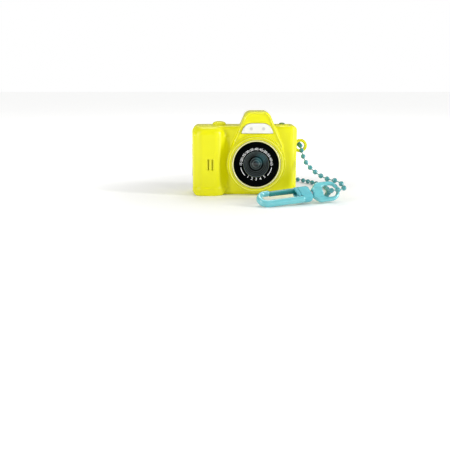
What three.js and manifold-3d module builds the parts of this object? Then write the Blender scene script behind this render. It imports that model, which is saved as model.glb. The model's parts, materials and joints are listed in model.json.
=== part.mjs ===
// Toy digital camera with a bead chain and a swivel snap hook, in millimetres, +Z up.
// The camera faces -Y and stands on its flat base at z = 0. x = 0 is the middle of its width,
// y = 0 the middle of its thickness. The grip is on the -X side, the strap lug on the +X side.

import * as THREE from "three";
import { mergeVertices } from "three/addons/utils/BufferGeometryUtils.js";
import Module from "manifold-3d";

const wasm = await Module();
wasm.setup();

// ---------------------------------------------------------------- driving dimensions

const GAP = 0.3; // clearance between neighbouring pieces
const WALL = 2; // shell wall

const BODY = { width: 80, height: 52.6, front: -12, rear: 12, corner: 4.2, edge: 2.4 };
const SPLIT = 4.5; // the y of the joint between the front shell and the rear cover
const LENS = { x: 8.4, z: 24.4 }; // lens axis, along y
const RING = { radius: 22, step: 20.4, base: -18.2, front: -20.2, bore: 18.4 };
const HUMP = { x: 9.3, top: 63.3, halfTop: 8.4, flare: 0.436, foot: 34, front: -17, rear: 9.5 };
const GRIP = { left: -40, right: -15, front: -19, top: 50.6 };

const DISK_RADIUS = 16.9; // printed black disk round the front glass
const CONE = { mouth: 9.8, throat: 5.6, front: -19.6, back: -13.4 };
const FLASH = { x: 9.1, bottom: 47.3, top: 54.8, halfBottom: 11.9, halfTop: 6.6 };
const SLOT = { width: 1.2, bottom: 19.6, top: 28, spacing: 3.4, x: -26.8 };

const SHUTTER = { x: -19.5, y: -3.2, radius: 5.2, top: 55.8, travel: 1 };
const POWER = { x: 28.4, y: -3.7, radius: 2.2, top: 54.5, travel: 0.7, padRadius: 5.2, padTop: 53.3 };

const SCREEN = { x: 9, z: 26.5, width: 45, height: 36 };
const PAD = { x: -26.2, z: 22.6, reach: 7.6 }; // navigation buttons on the rear
const KEY = { radius: 2.7, proud: 0.9, travel: 0.7 };
const UPPER_KEYS = { x: 5.2, z: 39.8 }; // two more keys above the navigation buttons

const FLAP = { front: -5, rear: 3.4, bottom: 13.4, top: 38.2, thick: 1.7, proud: 0.5 };
const PORT_Y = 0.8; // middle of both ports through the shell's thickness
const USB = { z: 20, width: 9.2, thick: 3.2, depth: 7 };
const CARD = { z: 31.4, width: 11.4, thick: 2, depth: 14 };

// Pieces inside, as boxes from the low corner to the high one.
const BATTERY = { low: [-31, -8.4, 9], high: [-12.6, -1.4, 39.5] };
const TOP_BOARD = { low: [-27, -8.6, 43.2], high: [33, 0, 44.4] };
const SPEAKER = { radius: 5.8, front: -13.6, rear: -10.4, z: 23.8 };
const LENS_MODULE = { radius: 5, front: -12.7, half: 6, step: -8, rear: -3.4 };
const SENSOR_BOARD = { half: 7.5, front: -3.1, rear: -2.1 };
const DISPLAY = { width: 43, height: 34, front: 4.6, rear: 7.6 };
const MICROPHONE = { radius: 2, drop: 14, rear: 6.2 };

const SCREW = { x: 35.4, low: 5.6, high: 46.6, radius: 1.1, head: 2.1, post: 2.8 };
const LUG = { x: 43.6, y: 3, z: 36.2, outer: 5.3, hole: 3, thick: 3 };

const BEAD_DIAMETER = 3.6;
const CLASP = { x: 38.5, y: 19, bottom: 20.2, top: 27.6, radius: 2.3 };

// The snap hook lies in front of the camera, tilted on its side. Its own frame has x along the
// hook from the nose to the eye, y across it towards the gate, and z through its thickness.
const HOOK = {
  nose: [7.2, -58.4, 4.2],
  turn: 17, // degrees in plan
  rise: 4, // degrees up towards the eye
  tilt: 28, // degrees that the gate side is raised
  half: 5.5, // from the axis to the middle of either arm
  arm: 2, // radius of an arm
  bend: 7.5, // from the nose to where the arms run straight
  stub: 10.4,
  collarStart: 29.6,
  collarEnd: 41,
};
const GATE = { start: 10.8, pivot: 31.6, half: 1.3, thick: 3, side: 5.3 };
const EYE = { start: 42.3, end: 63.6, half: 7.3, thick: 2.8, tilt: 57, holeStart: 49.4, holeEnd: 60.8 };
const PIN = { radius: 1.5, head: 2.2, headStart: 35.6, headEnd: 37.2 };

// Middle of the bead chain, from the top of its clasp, forward through the lug, down to the
// snap hook's eye and round its end bar, and back along the surface to the clasp.
const CHAIN_ROUTE = [
  [38.5, 19, 28.3],
  [38.8, 18.4, 31.8],
  [41.8, 12.4, 36.3],
  [43.5, 6.5, 36.9],
  [43.7, 1.4, 35.8],
  [44.3, -5.2, 31.4],
  [46.1, -11.3, 26],
  [49.6, -18, 21.4],
  [55.2, -25.8, 17.4],
  [60.8, -32.5, 15.2],
  [66.2, -36.8, 14.6],
  [69.6, -41, 12.8],
  [70.4, -45.2, 11.2],
  [67.8, -49, 10.4],
  [63.4, -48.8, 10],
  [61.2, -44.8, 8.9],
  [60.4, -40.2, 6.8],
  [60, -35.2, 4.2],
  [60.6, -28.6, 2.3],
  [62.4, -20, 1.9],
  [65, -9, 1.9],
  [65.8, 8, 1.9],
  [62.6, 24, 1.9],
  [57, 37, 1.9],
  [51, 47, 1.9],
  [44.6, 53, 1.9],
  [37, 54, 1.9],
  [30.8, 49.4, 1.9],
  [29.4, 42, 1.9],
  [31.6, 34.6, 1.9],
  [35, 27.6, 2.2],
  [37.6, 22, 6],
  [38.5, 19.4, 13],
  [38.5, 19, 19.9],
];

const COLOUR = {
  yellow: 0xe6e228,
  paleYellow: 0xf0eca0,
  black: 0x131416,
  glass: 0x24404a,
  white: 0xf4f4f0,
  grey: 0x8d9196,
  board: 0x1f6a3c,
  silver: 0xb9bcc0,
  teal: 0x55b9c6,
  darkTeal: 0x2c8f96,
};

// ---------------------------------------------------------------- solids

const radians = THREE.MathUtils.degToRad;

function solidOf(geometry) {
  const plain = geometry.clone();
  plain.deleteAttribute("normal");
  plain.deleteAttribute("uv");
  const merged = mergeVertices(plain, 1e-4);
  return new wasm.Manifold(
    new wasm.Mesh({
      numProp: 3,
      vertProperties: new Float32Array(merged.attributes.position.array),
      triVerts: new Uint32Array(merged.index.array),
    }),
  );
}

function geometryOf(solid) {
  const mesh = solid.getMesh();
  const geometry = new THREE.BufferGeometry();
  geometry.setAttribute("position", new THREE.BufferAttribute(mesh.vertProperties, 3));
  geometry.setIndex(new THREE.BufferAttribute(mesh.triVerts, 1));
  geometry.computeVertexNormals();
  return geometry;
}

function join(...solids) {
  return solids.reduce((whole, next) => whole.add(next));
}

function cut(solid, ...tools) {
  return tools.reduce((left, tool) => left.subtract(tool), solid);
}

// A box between two corners, each given as [x, y, z].
function block(low, high) {
  const size = high.map((value, i) => value - low[i]);
  const geometry = new THREE.BoxGeometry(...size);
  geometry.translate(...low.map((value, i) => value + size[i] / 2));
  return solidOf(geometry);
}

const UPRIGHT = new THREE.Vector3(0, 1, 0);
const AXES = {
  x: new THREE.Vector3(1, 0, 0),
  y: new THREE.Vector3(0, 1, 0),
  z: new THREE.Vector3(0, 0, 1),
};

// A round bar along an axis from one coordinate to another. centre gives the two other
// coordinates, in alphabetical order.
function bar(axis, radius, from, to, centre, sides = 32, endRadius = radius) {
  const geometry = new THREE.CylinderGeometry(endRadius, radius, to - from, sides);
  geometry.applyQuaternion(new THREE.Quaternion().setFromUnitVectors(UPRIGHT, AXES[axis]));
  const middle = (from + to) / 2;
  const [a, b] = centre;
  const place = { x: [middle, a, b], y: [a, middle, b], z: [a, b, middle] }[axis];
  geometry.translate(...place);
  return solidOf(geometry);
}

// A ring turned about the y axis through (x, z). profile holds [radius, y] corners.
function turned(profile, x, z, sides = 40) {
  const points = profile.map(([radius, y]) => new THREE.Vector2(radius, y));
  const geometry = new THREE.LatheGeometry(points, sides);
  geometry.translate(x, 0, z);
  return solidOf(geometry);
}

// A ring of rectangular section about the y axis of the lens.
function lensRing(inner, outer, front, back, sides = 40) {
  const profile = [
    [inner, front],
    [outer, front],
    [outer, back],
    [inner, back],
    [inner, front],
  ];
  return turned(profile, LENS.x, LENS.z, sides);
}

function roundedRectangle(width, height, radius, x = 0, y = 0) {
  const shape = new THREE.Shape();
  const right = x + width / 2 - radius;
  const top = y + height / 2 - radius;
  const left = x - width / 2 + radius;
  const bottom = y - height / 2 + radius;
  shape.absarc(right, top, radius, 0, Math.PI / 2);
  shape.absarc(left, top, radius, Math.PI / 2, Math.PI);
  shape.absarc(left, bottom, radius, Math.PI, Math.PI * 1.5);
  shape.absarc(right, bottom, radius, Math.PI * 1.5, Math.PI * 2);
  shape.closePath();
  return shape;
}

function extruded(shape, length, bevel, steps = 4) {
  const geometry = new THREE.ExtrudeGeometry(shape, {
    depth: length - 2 * bevel,
    curveSegments: steps,
    bevelEnabled: bevel > 0,
    bevelThickness: bevel,
    bevelSize: bevel,
    bevelOffset: -bevel,
    bevelSegments: 2,
  });
  return geometry.translate(0, 0, bevel);
}

// A shape drawn in x and z, extruded along y.
function alongY(shape, front, back, bevel = 0, steps = 4) {
  const geometry = extruded(shape, back - front, bevel, steps);
  geometry.rotateX(Math.PI / 2);
  return solidOf(geometry.translate(0, back, 0));
}

// A shape drawn in x and y, extruded along z.
function alongZ(shape, bottom, top, bevel = 0, steps = 4) {
  return solidOf(extruded(shape, top - bottom, bevel, steps).translate(0, 0, bottom));
}

function material(colour, roughness, metalness = 0) {
  return new THREE.MeshStandardMaterial({ color: colour, roughness, metalness });
}

const MATERIAL = {
  glossyYellow: material(COLOUR.yellow, 0.25),
  paleYellow: material(COLOUR.paleYellow, 0.35),
  black: material(COLOUR.black, 0.35),
  glass: material(COLOUR.glass, 0.05),
  white: material(COLOUR.white, 0.3),
  grey: material(COLOUR.grey, 0.5),
  board: material(COLOUR.board, 0.5),
  metal: material(COLOUR.silver, 0.3, 1),
  rubber: material(COLOUR.yellow, 0.7),
  teal: material(COLOUR.teal, 0.35),
  darkTeal: material(COLOUR.darkTeal, 0.3),
};

const camera = new THREE.Group();

function piece(name, solid, finish, parent = camera) {
  const mesh = new THREE.Mesh(geometryOf(solid), finish);
  mesh.name = name;
  parent.add(mesh);
  return mesh;
}

// ---------------------------------------------------------------- body shells

function humpOutline(inset) {
  const shape = new THREE.Shape();
  const corner = 3;
  const top = HUMP.top - inset;
  const half = HUMP.halfTop - inset;
  const footHalf = HUMP.halfTop + (HUMP.top - HUMP.foot) * HUMP.flare - inset;
  shape.moveTo(HUMP.x - footHalf, HUMP.foot);
  shape.lineTo(HUMP.x + footHalf, HUMP.foot);
  shape.lineTo(HUMP.x + half + corner * HUMP.flare, top - corner);
  shape.quadraticCurveTo(HUMP.x + half, top, HUMP.x + half - corner, top);
  shape.lineTo(HUMP.x - half + corner, top);
  shape.quadraticCurveTo(HUMP.x - half, top, HUMP.x - half - corner * HUMP.flare, top - corner);
  shape.closePath();
  return shape;
}

function gripPlan(inset) {
  const shape = new THREE.Shape();
  const left = GRIP.left + inset;
  const right = GRIP.right - inset;
  const front = GRIP.front + inset;
  const back = -6;
  shape.moveTo(left, back);
  shape.lineTo(left, front + 7);
  shape.bezierCurveTo(left, front + 2, left + 4, front, left + 10, front);
  shape.bezierCurveTo(right - 7, front, right - 4, front + 3, right, BODY.front + 1);
  shape.lineTo(right, back);
  shape.closePath();
  return shape;
}

// The whole outside of the camera, shrunk by inset on every side.
function bodySolid(inset) {
  const edge = inset > 0 ? 1 : BODY.edge;
  const corner = Math.max(BODY.corner - inset, 2.6);
  const outline = roundedRectangle(
    BODY.width - 2 * inset,
    BODY.height - 2 * inset,
    corner,
    0,
    BODY.height / 2,
  );
  const main = alongY(outline, BODY.front + inset, BODY.rear - inset, edge);
  const hump = alongY(humpOutline(inset), HUMP.front + inset, HUMP.rear - inset, edge, 3);
  const grip = alongZ(gripPlan(inset), inset, GRIP.top - inset, edge, 6);
  return join(main, hump, grip);
}

function screwSpots() {
  return [-SCREW.x, SCREW.x].flatMap((x) => [SCREW.low, SCREW.high].map((z) => [x, z]));
}

// The opening behind the port flap, and the step in the side wall that the flap closes.
function flapSeat(clearance) {
  const inside = -BODY.width / 2 + FLAP.thick - FLAP.proud;
  return block(
    [-BODY.width / 2 - 2, FLAP.front - clearance, FLAP.bottom - clearance],
    [inside + clearance, FLAP.rear + clearance, FLAP.top + clearance],
  );
}

function lugTongue(clearance) {
  const half = LUG.thick / 2 + clearance;
  return block(
    [BODY.width / 2 - 4.4 - clearance, LUG.y - half, LUG.z - 3 - clearance],
    [BODY.width / 2 + 1.4, LUG.y + half, LUG.z + 3 + clearance],
  );
}

function flashOutline(clearance) {
  const shape = new THREE.Shape();
  const low = FLASH.bottom - clearance;
  const high = FLASH.top + clearance;
  const foot = FLASH.halfBottom + clearance;
  const head = FLASH.halfTop + clearance;
  shape.moveTo(FLASH.x - foot, low);
  shape.lineTo(FLASH.x + foot, low);
  shape.quadraticCurveTo(FLASH.x + foot - 1.4, high, FLASH.x + head, high);
  shape.lineTo(FLASH.x - head, high);
  shape.quadraticCurveTo(FLASH.x - foot + 1.4, high, FLASH.x - foot, low);
  return shape;
}

// A front corner post takes the screw that comes through the rear cover.
function screwPost(x, z) {
  const outside = bar("y", SCREW.post, BODY.front + 1, SPLIT - GAP, [x, z], 12);
  const web = block(
    [Math.min(x, Math.sign(x) * 38.6), BODY.front + 1, z - 1],
    [Math.max(x, Math.sign(x) * 38.6), SPLIT - GAP, z + 1],
  );
  return join(outside, web);
}

function frontShell() {
  const outer = bodySolid(0);
  const hollow = bodySolid(WALL);
  const ring = join(
    lensRing(RING.bore, RING.radius, RING.base, BODY.front + 2),
    lensRing(RING.bore, RING.step, RING.front, BODY.front + 2),
  );
  const lensHole = bar("y", RING.bore, RING.front - 1, BODY.front + 4, [LENS.x, LENS.z], 40);
  const powerPad = bar(
    "z", POWER.padRadius, BODY.height - 1, POWER.padTop, [POWER.x, POWER.y], 32,
    POWER.padRadius - 0.6,
  );
  const behind = block([-60, SPLIT - GAP / 2, -5], [60, 30, 80]);
  let shell = cut(join(outer, powerPad), hollow);
  shell = join(shell, ...screwSpots().map(([x, z]) => screwPost(x, z)));
  shell = join(cut(shell, lensHole), ring);
  const screwBores = screwSpots().map(([x, z]) =>
    bar("y", SCREW.radius + GAP, BODY.front + 4, SPLIT, [x, z], 8),
  );
  const slots = [-1, 1].map((side) => {
    const x = SLOT.x + (side * SLOT.spacing) / 2;
    return block(
      [x - SLOT.width / 2, GRIP.front - 1, SLOT.bottom],
      [x + SLOT.width / 2, GRIP.front + WALL + 2.5, SLOT.top],
    );
  });
  const ports = [USB, CARD].map((port) => {
    const half = port.thick / 2 + GAP;
    return block(
      [-BODY.width / 2 - 1, PORT_Y - half, port.z - port.width / 2 - GAP],
      [-BODY.width / 2 + WALL + 1, PORT_Y + half, port.z + port.width / 2 + GAP],
    );
  });
  return cut(
    shell,
    behind,
    alongY(flashOutline(GAP), HUMP.front - 1, HUMP.front + WALL + 2),
    bar("z", SHUTTER.radius + GAP, 40, 70, [SHUTTER.x, SHUTTER.y], 32),
    bar("z", POWER.radius + GAP, 46, 60, [POWER.x, POWER.y], 24),
    lugTongue(GAP),
    flapSeat(GAP),
    ...screwBores,
    ...slots,
    ...ports,
  );
}

// Middles of the keys on the rear: up, down, left and right of the navigation pad as seen by
// the user, its centre, and the two keys above it.
const REAR_KEYS = {
  up: [PAD.x, PAD.z + PAD.reach],
  down: [PAD.x, PAD.z - PAD.reach],
  left: [PAD.x + PAD.reach, PAD.z],
  right: [PAD.x - PAD.reach, PAD.z],
  ok: [PAD.x, PAD.z],
  mode: [PAD.x + UPPER_KEYS.x, UPPER_KEYS.z],
  playback: [PAD.x - UPPER_KEYS.x, UPPER_KEYS.z],
};

function screenPane(clearance) {
  return roundedRectangle(
    SCREEN.width + 2 * clearance,
    SCREEN.height + 2 * clearance,
    2.4,
    SCREEN.x,
    SCREEN.z,
  );
}

function rearCover() {
  const ahead = block([-60, -40, -5], [60, SPLIT + GAP / 2, 80]);
  const paneSeat = alongY(screenPane(GAP), BODY.rear - 1.5, BODY.rear + 1);
  const screenHole = alongY(
    roundedRectangle(SCREEN.width - 4, SCREEN.height - 4, 1, SCREEN.x, SCREEN.z),
    0, BODY.rear + 1,
  );
  const keyHoles = Object.values(REAR_KEYS).map((spot) =>
    bar("y", KEY.radius + GAP, 0, BODY.rear + 1, spot, 16),
  );
  const screwSeats = screwSpots().flatMap((spot) => [
    bar("y", SCREW.radius + GAP, 0, BODY.rear + 1, spot, 8),
    bar("y", SCREW.head + GAP, BODY.rear - 1.5, BODY.rear + 1, spot, 14),
  ]);
  const sleeves = screwSpots().map((spot) =>
    bar("y", SCREW.post, SPLIT + GAP / 2, BODY.rear - 1, spot, 12),
  );
  const microphoneHole = bar(
    "y", 0.6, 0, BODY.rear + 1, [PAD.x, PAD.z - MICROPHONE.drop], 10,
  );
  const shell = join(cut(bodySolid(0), bodySolid(WALL), ahead), ...sleeves);
  return cut(
    shell,
    paneSeat,
    screenHole,
    microphoneHole,
    lugTongue(GAP),
    ...keyHoles,
    ...screwSeats,
  );
}

piece("front_shell", frontShell(), MATERIAL.glossyYellow);
piece("rear_cover", rearCover(), MATERIAL.glossyYellow);

function strapLug() {
  const ring = bar("y", LUG.outer, LUG.y - LUG.thick / 2, LUG.y + LUG.thick / 2, [LUG.x, LUG.z], 36);
  const inBody = block([0, -20, 0], [BODY.width / 2 + GAP, 20, 60]);
  const hole = bar("y", LUG.hole, LUG.y - 4, LUG.y + 4, [LUG.x, LUG.z], 28);
  return cut(join(cut(ring, inBody), lugTongue(0)), hole);
}

piece("strap_lug", strapLug(), MATERIAL.glossyYellow);

for (const [index, [x, z]] of screwSpots().entries()) {
  const shank = bar("y", SCREW.radius, -4, BODY.rear - 1.2, [x, z], 8);
  const head = bar("y", SCREW.head, BODY.rear - 1.2, BODY.rear - 0.2, [x, z], 14);
  const slot = [
    block([x - 0.3, BODY.rear - 0.8, z - 1.3], [x + 0.3, BODY.rear + 1, z + 1.3]),
    block([x - 1.3, BODY.rear - 0.8, z - 0.3], [x + 1.3, BODY.rear + 1, z + 0.3]),
  ];
  piece(`case_screw_${index + 1}`, cut(join(shank, head), ...slot), MATERIAL.metal);
}

// ---------------------------------------------------------------- lens and flash

function lensBarrel() {
  const tube = lensRing(DISK_RADIUS + 0.2, RING.bore - GAP, RING.front + 1.4, -9);
  const seat = lensRing(6.8, RING.bore - GAP, -12.6, -11);
  return join(tube, seat);
}

function lensCone() {
  const { mouth, throat, front, back } = CONE;
  const rings = 3;
  const profile = [];
  for (let i = 0; i < rings; i += 1) {
    const radius = mouth - 0.9 - ((mouth - 0.9 - throat) * i) / rings;
    const y = front + ((back - front) * i) / rings;
    profile.push([radius, y], [radius, y + (back - front) / rings]);
  }
  profile.push([mouth - 0.2, back], [mouth - 0.2, front], profile[0]);
  return turned(profile.reverse(), LENS.x, LENS.z, 32);
}

function frontGlass() {
  const radius = CONE.throat - GAP;
  const dome = 5;
  const profile = [[0, -16.2]];
  for (let i = 1; i <= dome; i += 1) {
    const angle = (i / dome) * (Math.PI / 2);
    profile.push([radius * Math.sin(angle), -14.4 - 1.8 * Math.cos(angle)]);
  }
  profile.push([radius, -13], [0, -13]);
  return turned(profile, LENS.x, LENS.z, 32);
}

function squareAboutLens(half, front, rear) {
  return block([LENS.x - half, front, LENS.z - half], [LENS.x + half, rear, LENS.z + half]);
}

piece("lens_barrel", lensBarrel(), MATERIAL.glossyYellow);
piece(
  "lens_trim_ring",
  lensRing(DISK_RADIUS + 0.3, RING.bore - GAP, RING.front - 0.3, RING.front + 1.1),
  MATERIAL.paleYellow,
);
piece(
  "lens_bezel",
  lensRing(CONE.mouth + 0.1, DISK_RADIUS - 0.1, RING.front, RING.front + 1.5),
  MATERIAL.black,
);
piece("lens_cone", lensCone(), MATERIAL.black);
piece("front_glass", frontGlass(), MATERIAL.glass);
piece(
  "lens_module",
  join(
    bar("y", LENS_MODULE.radius, LENS_MODULE.front, LENS_MODULE.step + 1, [LENS.x, LENS.z], 24),
    squareAboutLens(LENS_MODULE.half, LENS_MODULE.step, LENS_MODULE.rear),
  ),
  MATERIAL.black,
);
piece(
  "image_sensor_board",
  squareAboutLens(SENSOR_BOARD.half, SENSOR_BOARD.front, SENSOR_BOARD.rear),
  MATERIAL.board,
);

const LED_SPOTS = { left: FLASH.x - 4.6, right: FLASH.x + 4.6 };
const FLASH_Z = 50.8;

function flashReflector() {
  const cup = alongY(flashOutline(-0.4), HUMP.front + 1.6, HUMP.front + 4.2);
  const wells = Object.values(LED_SPOTS).map((x) =>
    bar("y", 2.6, HUMP.front + 1, HUMP.front + 5, [x, FLASH_Z], 24, 2),
  );
  return cut(cup, ...wells);
}

piece(
  "flash_window",
  alongY(flashOutline(0), HUMP.front - 0.3, HUMP.front + 1.3),
  MATERIAL.white,
);
piece("flash_reflector", flashReflector(), MATERIAL.white);
for (const [side, x] of Object.entries(LED_SPOTS)) {
  piece(
    `flash_led_${side}`,
    block([x - 1.2, HUMP.front + 2.6, FLASH_Z - 1], [x + 1.2, HUMP.front + 4.2, FLASH_Z + 1]),
    MATERIAL.white,
  );
}
piece(
  "flash_board",
  block([FLASH.x - 9, HUMP.front + 4.5, FLASH_Z - 3.2], [FLASH.x + 9, HUMP.front + 5.5, FLASH_Z + 3.2]),
  MATERIAL.board,
);

// ---------------------------------------------------------------- electronics

const BOARD = { front: 2.6, rear: 3.8, left: -32, right: 32, bottom: 5, top: 47.6 };

piece(
  "main_board",
  block([BOARD.left, BOARD.front, BOARD.bottom], [BOARD.right, BOARD.rear, BOARD.top]),
  MATERIAL.board,
);
piece("top_board", block(TOP_BOARD.low, TOP_BOARD.high), MATERIAL.board);
piece("battery", block(BATTERY.low, BATTERY.high), MATERIAL.grey);
piece(
  "speaker",
  bar("y", SPEAKER.radius, SPEAKER.front, SPEAKER.rear, [SLOT.x, SPEAKER.z], 28),
  MATERIAL.black,
);
const microphoneSpot = [PAD.x, PAD.z - MICROPHONE.drop];
piece(
  "microphone",
  bar("y", MICROPHONE.radius, BOARD.rear + GAP, MICROPHONE.rear, microphoneSpot, 16),
  MATERIAL.metal,
);
for (const [name, port] of Object.entries({ usb_socket: USB, card_socket: CARD })) {
  const left = -BODY.width / 2 + 2.2;
  const half = port.thick / 2;
  const shell = block(
    [left, PORT_Y - half, port.z - port.width / 2],
    [left + port.depth, PORT_Y + half, port.z + port.width / 2],
  );
  const mouth = block(
    [left - 1, PORT_Y - half + 0.4, port.z - port.width / 2 + 0.5],
    [left + port.depth - 1, PORT_Y + half - 0.4, port.z + port.width / 2 - 0.5],
  );
  piece(name, cut(shell, mouth), MATERIAL.metal);
}
piece(
  "display_module",
  block(
    [SCREEN.x - DISPLAY.width / 2, DISPLAY.front, SCREEN.z - DISPLAY.height / 2],
    [SCREEN.x + DISPLAY.width / 2, DISPLAY.rear, SCREEN.z + DISPLAY.height / 2],
  ),
  MATERIAL.grey,
);
piece("display_window", alongY(screenPane(0), BODY.rear - 1.2, BODY.rear), MATERIAL.black);
piece(
  "keypad_sheet",
  block([PAD.x - 10.4, BOARD.rear + GAP, PAD.z - 11], [PAD.x + 10.4, 5.3, UPPER_KEYS.z + 3.6]),
  MATERIAL.grey,
);

function tactSwitch(spot, top) {
  const [x, y] = spot;
  const base = block([x - 3, y - 3, TOP_BOARD.high[2] + GAP], [x + 3, y + 3, top - 0.8]);
  return join(base, bar("z", 1.5, top - 1, top, spot, 16));
}

// ---------------------------------------------------------------- buttons

// A push button through the top wall: a domed cap on a wider flange that keeps it in.
function topButton(button, stemBottom) {
  const spot = [button.x, button.y];
  const under = BODY.height - WALL - GAP;
  const cap = join(
    bar("z", button.radius, under - 1, button.top - 0.9, spot, 24),
    bar("z", button.radius, button.top - 0.9, button.top - 0.3, spot, 24, button.radius - 0.5),
    bar("z", button.radius - 0.5, button.top - 0.3, button.top, spot, 24, button.radius - 1.5),
  );
  const flange = bar("z", button.radius + 0.6, under - 1.2, under, spot, 24);
  const stem = bar("z", 1.6, stemBottom, under - 1, spot, 16);
  return join(cap, flange, stem);
}

const SWITCH_TOP = 47.4;
for (const [name, button] of [["shutter", SHUTTER], ["power", POWER]]) {
  const finish = name === "power" ? MATERIAL.darkTeal : MATERIAL.glossyYellow;
  piece(`${name}_button`, topButton(button, SWITCH_TOP + button.travel + GAP), finish);
  piece(`${name}_switch`, tactSwitch([button.x, button.y], SWITCH_TOP), MATERIAL.metal);
}

for (const [name, spot] of Object.entries(REAR_KEYS)) {
  const inside = BODY.rear - WALL - GAP;
  const top = BODY.rear + KEY.proud;
  const cap = join(
    bar("y", KEY.radius, inside - 1, top - 0.4, spot, 16),
    bar("y", KEY.radius, top - 0.4, top, spot, 16, KEY.radius - 0.5),
  );
  const flange = bar("y", KEY.radius + 0.7, inside - 0.8, inside, spot, 16);
  const stem = bar("y", 1.2, 5.3 + KEY.travel + GAP, inside - 0.6, spot, 12);
  const finish = name === "ok" ? MATERIAL.darkTeal : MATERIAL.teal;
  piece(`button_${name}`, join(cap, flange, stem), finish);
}

function portFlap() {
  const outside = -BODY.width / 2 - FLAP.proud;
  const plate = block(
    [outside, FLAP.front, FLAP.bottom],
    [outside + FLAP.thick, FLAP.rear, FLAP.top],
  );
  const lift = bar("y", 1, FLAP.front - 1, FLAP.rear + 1, [outside, FLAP.top - 0.2], 12);
  return cut(plate, lift);
}

piece("port_cover", portFlap(), MATERIAL.rubber);

// ---------------------------------------------------------------- bead chain

class Route extends THREE.CatmullRomCurve3 {
  constructor(points) {
    super(points.map((point) => new THREE.Vector3(...point)), false, "centripetal");
  }
}

function octagon(radius) {
  const shape = new THREE.Shape();
  for (let i = 0; i < 8; i += 1) {
    const angle = ((i + 0.5) / 8) * 2 * Math.PI;
    const corner = [radius * Math.cos(angle), radius * Math.sin(angle)];
    if (i === 0) {
      shape.moveTo(...corner);
    } else {
      shape.lineTo(...corner);
    }
  }
  shape.closePath();
  return shape;
}

piece(
  "bead_chain",
  solidOf(
    new THREE.ExtrudeGeometry(octagon(BEAD_DIAMETER / 2), {
      steps: 60,
      extrudePath: new Route(CHAIN_ROUTE),
      bevelEnabled: false,
    }),
  ),
  MATERIAL.darkTeal,
);
piece(
  "chain_clasp",
  join(
    bar("z", CLASP.radius, CLASP.bottom + 0.8, CLASP.top - 0.8, [CLASP.x, CLASP.y], 20),
    bar("z", 1.6, CLASP.bottom, CLASP.top, [CLASP.x, CLASP.y], 16),
  ),
  MATERIAL.darkTeal,
);

// ---------------------------------------------------------------- swivel snap hook

const hook = new THREE.Group();
hook.position.set(...HOOK.nose);
const lie = (tilt) =>
  new THREE.Matrix4()
    .makeRotationZ(radians(HOOK.turn))
    .multiply(new THREE.Matrix4().makeRotationY(radians(-HOOK.rise)))
    .multiply(new THREE.Matrix4().makeRotationX(radians(tilt)));
hook.quaternion.setFromRotationMatrix(lie(HOOK.tilt));
camera.add(hook);

const eye = new THREE.Group();
eye.position.copy(hook.position);
eye.quaternion.setFromRotationMatrix(lie(EYE.tilt));
camera.add(eye);

// The bent arm of the hook: straight on the closed side, round the nose, and a short stub
// that the gate's tip meets.
class HookArm extends THREE.Curve {
  getPoint(t, target = new THREE.Vector3()) {
    const straight = HOOK.collarStart + 3 - HOOK.bend;
    const turn = Math.PI * HOOK.half;
    const stub = HOOK.stub - HOOK.bend;
    const along = t * (straight + turn + stub);
    if (along < straight) {
      return target.set(HOOK.collarStart + 3 - along, -HOOK.half, 0);
    }
    if (along < straight + turn) {
      const angle = (along - straight) / HOOK.half;
      return target.set(
        HOOK.bend - HOOK.half * Math.sin(angle),
        -HOOK.half * Math.cos(angle),
        0,
      );
    }
    return target.set(HOOK.bend + along - straight - turn, HOOK.half, 0);
  }
}

piece(
  "hook_frame",
  solidOf(
    new THREE.ExtrudeGeometry(octagon(HOOK.arm), {
      steps: 26,
      extrudePath: new HookArm(),
      bevelEnabled: false,
    }),
  ),
  MATERIAL.teal,
  hook,
);

// A block drawn across the hook and extruded along it.
function alongHook(shape, from, to, bevel) {
  const geometry = extruded(shape, to - from, bevel);
  geometry.rotateY(Math.PI / 2).rotateX(Math.PI / 2);
  return solidOf(geometry.translate(from, 0, 0));
}

function hookCollar() {
  const { collarStart, collarEnd, half, arm } = HOOK;
  const outside = alongHook(roundedRectangle(13.4, 7.4, 2.4), collarStart, collarEnd, 0.8);
  const armSocket = bar("x", arm + GAP + 0.05, collarStart - 1, collarStart + 3.4, [-half, 0], 16);
  const gateSlot = block([collarStart - 1, 2.9, -1.9], [collarStart + 4.4, 7.6, 1.9]);
  const pinBore = bar("x", PIN.radius + GAP, collarStart, collarEnd + 1, [0, 0], 14);
  const headBore = bar("x", PIN.head + GAP, collarStart - 1, PIN.headEnd + GAP, [0, 0], 16);
  return cut(outside, armSocket, gateSlot, pinBore, headBore);
}

function hookGate() {
  const { start, pivot, half, thick, side } = GATE;
  const leaf = block([start, side - half, -thick / 2], [pivot, side + half, thick / 2]);
  const knuckle = bar("z", 1.6, -thick / 2, thick / 2, [pivot, side], 16);
  return join(leaf, knuckle);
}

piece("hook_collar", hookCollar(), MATERIAL.teal, hook);
piece("hook_gate", hookGate(), MATERIAL.darkTeal, hook);

function eyeOutline() {
  const { start, end, half, holeStart, holeEnd } = EYE;
  const shape = new THREE.Shape();
  const round = half;
  shape.moveTo(start, -2.6);
  shape.quadraticCurveTo(start + 3, -half, start + 9, -half);
  shape.lineTo(end - round, -half);
  shape.absarc(end - round, 0, round, -Math.PI / 2, Math.PI / 2);
  shape.lineTo(start + 9, half);
  shape.quadraticCurveTo(start + 3, half, start, 2.6);
  shape.closePath();
  const inner = 4.4;
  const hole = new THREE.Path();
  hole.absarc(holeEnd - inner, 0, inner, -Math.PI / 2, Math.PI / 2);
  hole.absarc(holeStart + inner, 0, inner, Math.PI / 2, Math.PI * 1.5);
  hole.closePath();
  shape.holes.push(hole);
  return shape;
}

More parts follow.
